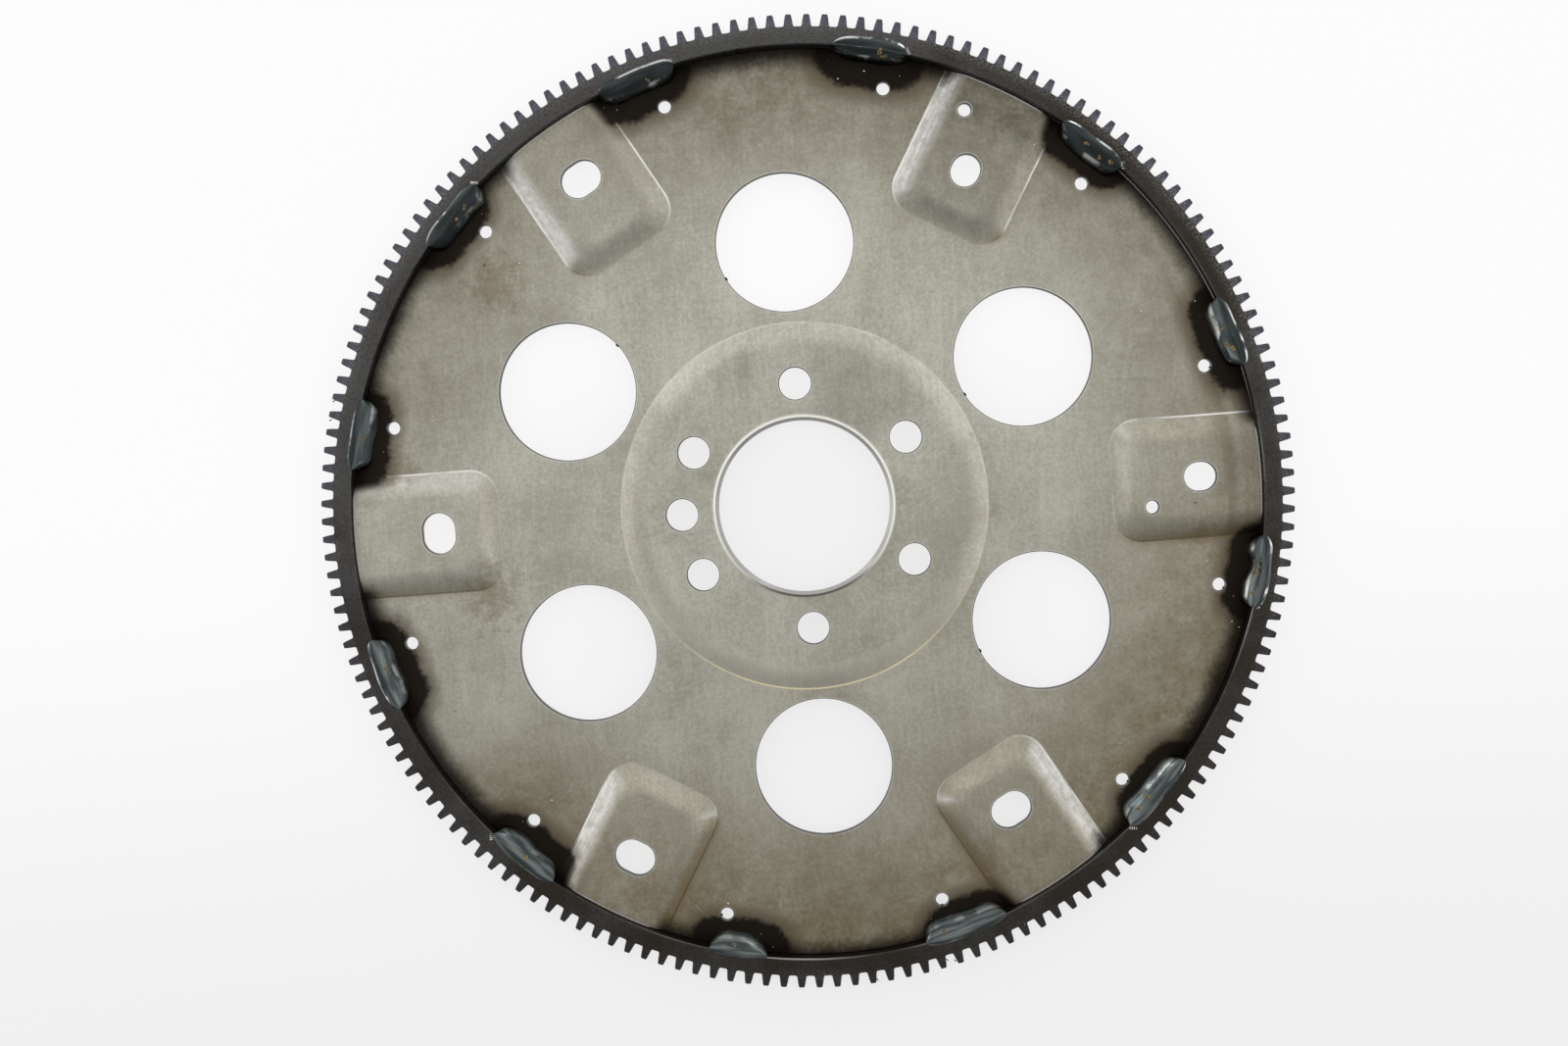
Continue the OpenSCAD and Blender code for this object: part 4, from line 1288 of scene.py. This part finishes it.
slag, tree, shader, place = new_material("brown_slag")
crumbs = noise(tree, place, 1100, 3.0, 0.7)
colour = blend(tree, smooth(tree, crumbs, 0.42, 0.66), SLAG_LIGHT, SLAG_DARK)
paint(tree, shader, colour, maths(tree, "MULTIPLY_ADD", crumbs, 0.3, 0.2), 0.0)

black_slag, tree, shader, place = new_material("black_slag")
paint(tree, shader, SLAG_BLACK, 0.35, 0.0)

spatter_steel, tree, shader, place = new_material("spatter_steel")
tones = smooth(tree, noise(tree, place, 300, 1.0), 0.42, 0.6)
paint(tree, shader, blend(tree, tones, SPATTER_DARK, SPATTER_BRIGHT), 0.3)
print("materials", slag.name, black_slag.name, "and", spatter_steel.name, "ready")

# %% [markdown]
# ## The weld beads
# A bead lies in the corner between the sheet and the ring and laps over the ring's face. Its section is a
# curve from the ring over the crown to the sheet, and the section shrinks towards both ends, more bluntly
# at the end where the welder stopped. Two beads end more slowly than the rest, and one has a waist. The
# bead is a loft of such sections. Slow waves, seeded by the bead's number, make each one differ in width
# and height, as hand work does.

# %% Sections of a bead
BEAD_STATIONS, BEAD_POINTS, BEAD_TRIM = 72, 26, 0.9995
LAP_START, TOE_LEAST, CROWN_PULL = 0.12, 0.06, 2.6
LAP_WAVE, LEG_WAVE, CROWN_WAVE = 0.08, 0.06, 0.1
BLUNT_END, TAPERED_END = 6.0, 4.4
SLOW_ENDS = {9: (2.6, 1.7), 3: (4.0, 2.6)}
WAISTS, WAIST_PLACE, WAIST_SPREAD = {12: 0.40}, 0.12, 0.26


def wave(number, lane, u):
    """A slow wave along a bead, between -1 and 1, that differs from bead to bead and from lane to lane."""
    a, b = math.sin(number * 12.9 + lane * 4.1) * 3, math.sin(number * 7.7 + lane * 9.3) * 3
    return 0.6 * math.sin(3.1 * u + a) + 0.4 * math.sin(6.7 * u + b)


def bead_middle(number):
    """Angle of a bead's middle round the axis."""
    return BEAD_TURN + (number - 1) * BEAD_STEP + BEAD_WANDER[number - 1][0] / RING_INNER_R


def bead_half_angle(number):
    """Half the angle that a bead spans."""
    return (BEAD_LENGTH + BEAD_WANDER[number - 1][1]) / 2 / RING_INNER_R


def bead_section(number, u):
    """Radius and height of the bead's open curve at u, from the ring's face to the sheet."""
    out = BEAD_WANDER[number - 1][2]
    blunt, taper = SLOW_ENDS.get(number, (BLUNT_END, TAPERED_END))
    share = math.sqrt(max(1 - abs(u) ** (blunt if u < 0 else taper), 0))
    waist = 1 - WAISTS.get(number, 0) * math.exp(-((u - WAIST_PLACE) / WAIST_SPREAD) ** 2)
    hold = min(share / 0.3, 1)
    lap = (BEAD_LAP + out) * max(share - LAP_START, 0) / (1 - LAP_START)
    lap *= 1 + LAP_WAVE * wave(number, 1, u)
    leg = (BEAD_LEG - out) * (TOE_LEAST + (1 - TOE_LEAST) * share) * waist
    leg *= 1 + LEG_WAVE * wave(number, 2, u)
    crown = BEAD_CROWN * math.sqrt(share) * (1 - CROWN_WAVE + CROWN_WAVE * wave(number, 3, u))
    start = Vector((RING_INNER_R + lap, WEB_TOP + (RING_WIDTH - WEB_TOP) * hold))
    bulge = Vector((RING_INNER_R + lap * 0.36, start.y + CROWN_PULL * crown))
    flank = Vector((RING_INNER_R - leg * 0.6, WEB_TOP + (start.y - WEB_TOP) * 0.84))
    toe = Vector((RING_INNER_R - leg, WEB_TOP))
    curve = []
    for j in range(BEAD_POINTS + 1):
        v = j / BEAD_POINTS
        w = 1 - v
        p = start * w ** 3 + bulge * 3 * v * w * w + flank * 3 * v * v * w + toe * v ** 3
        if p.x > RING_INNER_R - 0.1:
            p.y = max(p.y, start.y + 0.03 * share)
        curve.append(p)
    seat = [Vector((RING_INNER_R, WEB_TOP)), Vector((RING_INNER_R, start.y))]
    return curve, seat


def bead_point(number, u, p):
    """Place of a section point in the part."""
    a = bead_middle(number) + bead_half_angle(number) * u
    return Vector((p.x * math.cos(a), p.x * math.sin(a), p.y)) * MM


print("the first bead spans in degrees:", round(math.degrees(2 * bead_half_angle(1)), 1))

# %% [markdown]
# The sections stand closer together towards the ends, where the bead curves most. The UV map called flow
# runs along the bead in one direction and across it in the other.


# %% Loft the beads
def make_bead(number):
    """One bead as a closed mesh with a map along its flow."""
    work = bmesh.new()
    flow_map = work.loops.layers.uv.new("flow")
    rows, spots = [], {}
    for k in range(BEAD_STATIONS + 1):
        u = -math.cos(math.pi * k / BEAD_STATIONS) * BEAD_TRIM
        curve, seat = bead_section(number, u)
        row = []
        for j, p in enumerate(curve + seat):
            vert = work.verts.new(bead_point(number, u, p))
            spots[vert] = (number + u * 0.5, j / BEAD_POINTS)
            row.append(vert)
        rows.append(row)
    size = len(rows[0])
    for before, after in zip(rows, rows[1:]):
        for j in range(size):
            n = (j + 1) % size
            work.faces.new((before[j], after[j], after[n], before[n]))
    work.faces.new(rows[0])
    work.faces.new(rows[-1][::-1])
    for face in work.faces:
        face.smooth = True
        for corner in face.loops:
            corner[flow_map].uv = spots[corner.vert]
    bmesh.ops.recalc_face_normals(work, faces=work.faces)
    mesh = bpy.data.meshes.new(f"bead_{number:02d}")
    work.to_mesh(mesh)
    work.free()
    mesh.set_sharp_from_angle(angle=math.radians(50))
    mesh.materials.append(weld_metal)
    bead = bpy.data.objects.new(f"bead_{number:02d}", mesh)
    scene.collection.objects.link(bead)
    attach(bead, "root")
    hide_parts(f"weld_bead_{number:02d}")
    return bead


beads = [make_bead(number) for number in range(1, BEAD_COUNT + 1)]
print("beads:", len(beads), "faces each:", len(beads[0].data.polygons))

# %% [markdown]
# ## Slag and spatter
# Small islands of brown slag float on the beads and stay there when the metal sets. Drops of metal fly
# off and stick to the sheet. Both are many small lumps on known places, so a second tree puts a lump on
# every point of a seed mesh, with the size of the lump stored on the point. The seed points come from a
# fixed random sequence.

# %% A tree that puts a lump on every point
LUMP_DETAIL = 2

tree, names, given, result = new_tree("lumps", [("Detail", "Int"), ("Metal", "Material")])
ball = add(tree, "GeometryNodeMeshIcoSphere", {"Radius": 1.0, "Subdivisions": given["Detail"]}).outputs[0]
size = add(tree, "GeometryNodeInputNamedAttribute", {"Name": "lump"}, data_type="FLOAT_VECTOR").outputs[0]
turn = add(tree, "GeometryNodeInputNamedAttribute", {"Name": "turn"}, data_type="FLOAT_VECTOR").outputs[0]
copies = {"Points": given["Geometry"], "Instance": ball, "Scale": size, "Rotation": turn}
copies = add(tree, "GeometryNodeInstanceOnPoints", copies).outputs[0]
real = add(tree, "GeometryNodeRealizeInstances", {0: copies}).outputs[0]
painted = add(tree, "GeometryNodeSetMaterial", {"Geometry": real, "Material": given["Metal"]}).outputs[0]
tree.links.new(painted, result[0])
lump_tree, lump_names = tree, names


def make_lumps(name, lumps, material):
    """One piece of many lumps: (place in metres, half sizes in mm, way of the flat side, spin)."""
    seed = bpy.data.meshes.new(name + "_seed")
    seed.from_pydata([place for place, _, _, _ in lumps], [], [])
    sizes = [MM * v for _, size, _, _ in lumps for v in size]
    turns = []
    for _, _, normal, spin in lumps:
        turns += (normal.to_track_quat("Z", "Y") @ Quaternion((0, 0, 1), spin)).to_euler()
    seed.attributes.new("lump", "FLOAT_VECTOR", "POINT").data.foreach_set("vector", sizes)
    seed.attributes.new("turn", "FLOAT_VECTOR", "POINT").data.foreach_set("vector", turns)
    piece = bake(name, lump_tree, lump_names, {"Detail": LUMP_DETAIL, "Metal": material}, seed)
    piece.data.polygons.foreach_set("use_smooth", [True] * len(piece.data.polygons))
    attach(piece, "root")


print("tree", lump_tree.name, "has", len(lump_tree.nodes), "nodes")

# %% [markdown]
# The islands sit on the upper part of a bead, a few lumps to each, and every lump has a small black core.
# A lump is tipped with the surface under it, so a wide one near the crown would stand above the part. Its
# radius is therefore limited by the height that is left.

# %% Slag islands on the beads
ISLAND_TOP, ISLAND_HEIGHT, CORE_HEIGHT, CORE_LIFT = RING_WIDTH + 0.3, 0.14, 0.13, 0.05
dice = random.Random(12)
UP = Vector((0, 0, 1))


def bead_spot(number, u, v):
    """Place on a bead's open surface, at a share u of its length and v of its section."""
    curve, _ = bead_section(number, u)
    k = min(int(v * BEAD_POINTS), BEAD_POINTS - 1)
    rest = v * BEAD_POINTS - k
    return bead_point(number, u, curve[k] * (1 - rest) + curve[k + 1] * rest)


def on_bead(number, u, v, step=0.02):
    """Place and outward direction on a bead's open surface."""
    here = bead_spot(number, u, v)
    normal = (bead_spot(number, u + step, v) - here).cross(bead_spot(number, u, v + step) - here)
    return here, (normal if normal.z > 0 else -normal).normalized()


islands, cores = [], []
for number in range(1, BEAD_COUNT + 1):
    for _ in range(dice.choice((1, 1, 2, 3))):
        u, v = dice.uniform(-0.72, 0.2), dice.uniform(0.48, 0.66)
        for part in range(dice.choice((2, 3, 4))):
            at_u, at_v = u + 0.05 * dice.uniform(-1, 1), v + 0.05 * dice.uniform(-1, 1)
            spot, normal = on_bead(number, at_u, at_v)
            radius, spin = dice.uniform(0.4, 0.7) * (1.0 if part else 1.5), dice.uniform(0, math.pi)
            tilt = max(math.sqrt(1 - normal.z ** 2), 0.1)
            radius = min(radius, max(ISLAND_TOP - spot.z / MM, 0.1) / tilt)
            wide = radius * dice.uniform(0.55, 1)
            islands.append((spot, (radius, wide, ISLAND_HEIGHT), normal, spin))
            spot, normal = on_bead(number, at_u + 0.02 * dice.uniform(-1, 1), at_v)
            core = (radius * 0.45, wide * 0.4, CORE_HEIGHT)
            cores.append((spot + normal * CORE_LIFT * MM, core, normal, spin + 0.4))
make_lumps("slag_islands", islands, slag)
make_lumps("slag_cores", cores, black_slag)
print("slag islands:", len(islands))

# %% [markdown]
# Spatter flies inwards from the weld. Most drops land close to it and a few go far, so their distances
# follow a bell curve, and most are tiny. A drop that would fall through a hole is left out.

# %% Spatter beside the welds
DROP_REACH, DROP_LEAST, DROP_MOST, DROP_RATE = 9.0, 0.14, 0.42, 10.0


def sheet_height(x, y):
    """Height of the sheet's upper face at one point, in millimetres."""
    return float(pressed(np.array(x), np.array(y)))


def in_hole(x, y, extra):
    """True where a point lies in a hole, or within extra of one."""
    return any(hole.holds(x, y, extra) for hole in holes)


drops = []
for number in range(1, BEAD_COUNT + 1):
    for _ in range(dice.randint(4, 9)):
        a = bead_middle(number) + dice.gauss(0, 1.25) * bead_half_angle(number)
        r = RIM_R - abs(dice.gauss(0, DROP_REACH)) - 1.0
        radius = min(DROP_LEAST + dice.expovariate(DROP_RATE), DROP_MOST)
        x, y = r * math.cos(a), r * math.sin(a)
        if in_hole(x, y, radius):
            continue
        place = Vector((x, y, sheet_height(x, y) + radius * 0.3)) * MM
        drops.append((place, (radius, radius, radius * 0.8), UP, 0.0))
make_lumps("spatter_drops", drops, spatter_steel)
print("spatter drops:", len(drops))

# %% [markdown]
# A few beads end in a bright wisp where the arc was drawn off along the ring's edge, punching left small
# burrs in some holes, and the cutter left some between the teeth. They are lumps again, long and thin
# ones, turned along the rim.

# %% Wisps and burrs
WISP_BEADS, WISP_LUMPS = (2, 3, 4, 5, 8, 11, 12), 4
TOOLING_BURRS = ((1, -2.2), (9, -2.8), (10, -1.9), (11, -1.2), (12, -2.0))
TOOTH_BURRS = ((284.1, 178.2), (283.2, 177.0), (274.5, 178.6), (163.1, 178.9), (165.4, 178.8))
WINDOW_BURRS = ((1, 213), (2, 212), (3, 43), (6, 207))


def polar(reach, turn, height, centre=(0.0, 0.0)):
    """A place in metres from a distance, an angle and a height, round a centre."""
    return Vector((centre[0] + reach * math.cos(turn), centre[1] + reach * math.sin(turn), height)) * MM


wisps = []
for number in WISP_BEADS:
    for k in range(WISP_LUMPS):
        a = bead_middle(number) - bead_half_angle(number) * (0.94 + 0.035 * k)
        place = polar(RING_INNER_R + 2.2 - 0.55 * k, a, RING_WIDTH + 0.02)
        wisps.append((place, (0.62, 0.26 - 0.03 * k, 0.16), UP, a - math.pi / 2 + 0.75))
make_lumps("bead_wisps", wisps, spatter_steel)

burrs = []
for number, at_turn in TOOLING_BURRS:
    hole = holes[-TOOLING_COUNT + number - 1]
    a = hole.turn + at_turn + math.pi / 2
    place = polar(TOOLING_HOLE_R - 0.25, a, WEB_TOP - 0.5, hole.centre)
    burrs.append((place, (0.6, 0.45, 0.4), UP, a))
for turn, reach in TOOTH_BURRS:
    a = math.radians(turn)
    burrs.append((polar(reach, a, RING_WIDTH - 0.6), (0.65, 0.22, 0.3), UP, a + 0.6))
for number, at_turn in WINDOW_BURRS:
    middle, a = (number - 0.5) * PAD_STEP, math.radians(at_turn) + PICTURE_TURN
    centre = (WINDOW_R * math.cos(middle), WINDOW_R * math.sin(middle))
    place = polar(WINDOW_HOLE_R - 0.2, a, WEB_TOP - 0.4, centre)
    burrs.append((place, (0.8, 0.35, 0.35), UP, a + math.pi / 2))
make_lumps("burr_bits", burrs, black_slag)
print("wisps:", len(wisps), "burrs:", len(burrs))

# %% [markdown]
# Handling left bright scratches and specks on the sheet, and one long dark score. A scratch is a lump
# that is far longer than it is high, laid on the surface along a random way, so it catches the light like
# a scored line. Three clear ones have fixed places, and the others are drawn by chance and kept only on
# flat metal away from the holes.

# %% Scratches on the sheet
CLEAR_SCRATCHES = ((-42.8, 109.6, 3.8, -63), (-41.4, 109.0, 2.4, -60), (-57.2, 119.0, 4.2, 16))
SCRATCH_COUNT, SPECK_COUNT = 46, 50
FLAT_ENOUGH, HOLE_GAP = 0.001, 1.5
DARK_SCORE = (123.6, 37.5, 7.9, math.radians(-4.3))

scratches = []
for x, y, half_length, way in CLEAR_SCRATCHES:
    place = Vector((x, y, sheet_height(x, y))) * MM
    scratches.append((place, (half_length, 0.08, 0.03), UP, math.radians(way)))
while len(scratches) < SCRATCH_COUNT:
    r, a = dice.uniform(40, 158), dice.uniform(0, math.tau)
    x, y, length = r * math.cos(a), r * math.sin(a), dice.uniform(0.8, 4.2)
    way = dice.gauss(1.5, 0.7)
    ends = [(x + k * length * math.cos(way), y + k * length * math.sin(way)) for k in (-1, 0, 1)]
    heights = [sheet_height(p, q) for p, q in ends]
    if max(heights) - min(heights) > FLAT_ENOUGH or any(in_hole(p, q, HOLE_GAP) for p, q in ends):
        continue
    size = (length, dice.uniform(0.035, 0.07), 0.02)
    scratches.append((Vector((x, y, heights[1])) * MM, size, UP, way))
while len(scratches) < SCRATCH_COUNT + SPECK_COUNT:
    r, a = dice.uniform(37, 160), dice.uniform(0, math.tau)
    x, y = r * math.cos(a), r * math.sin(a)
    if not in_hole(x, y, HOLE_GAP):
        size = dice.uniform(0.12, 0.26)
        place = Vector((x, y, sheet_height(x, y))) * MM
        scratches.append((place, (size, size * dice.uniform(0.5, 1), 0.03), UP, a))
make_lumps("sheet_scratches", scratches, turned_steel)
x, y, half_length, way = DARK_SCORE
score = (Vector((x, y, WEB_TOP)) * MM, (half_length, 0.06, 0.02), UP, way)
make_lumps("dark_scores", [score], black_slag)
print("scratches and specks:", len(scratches))
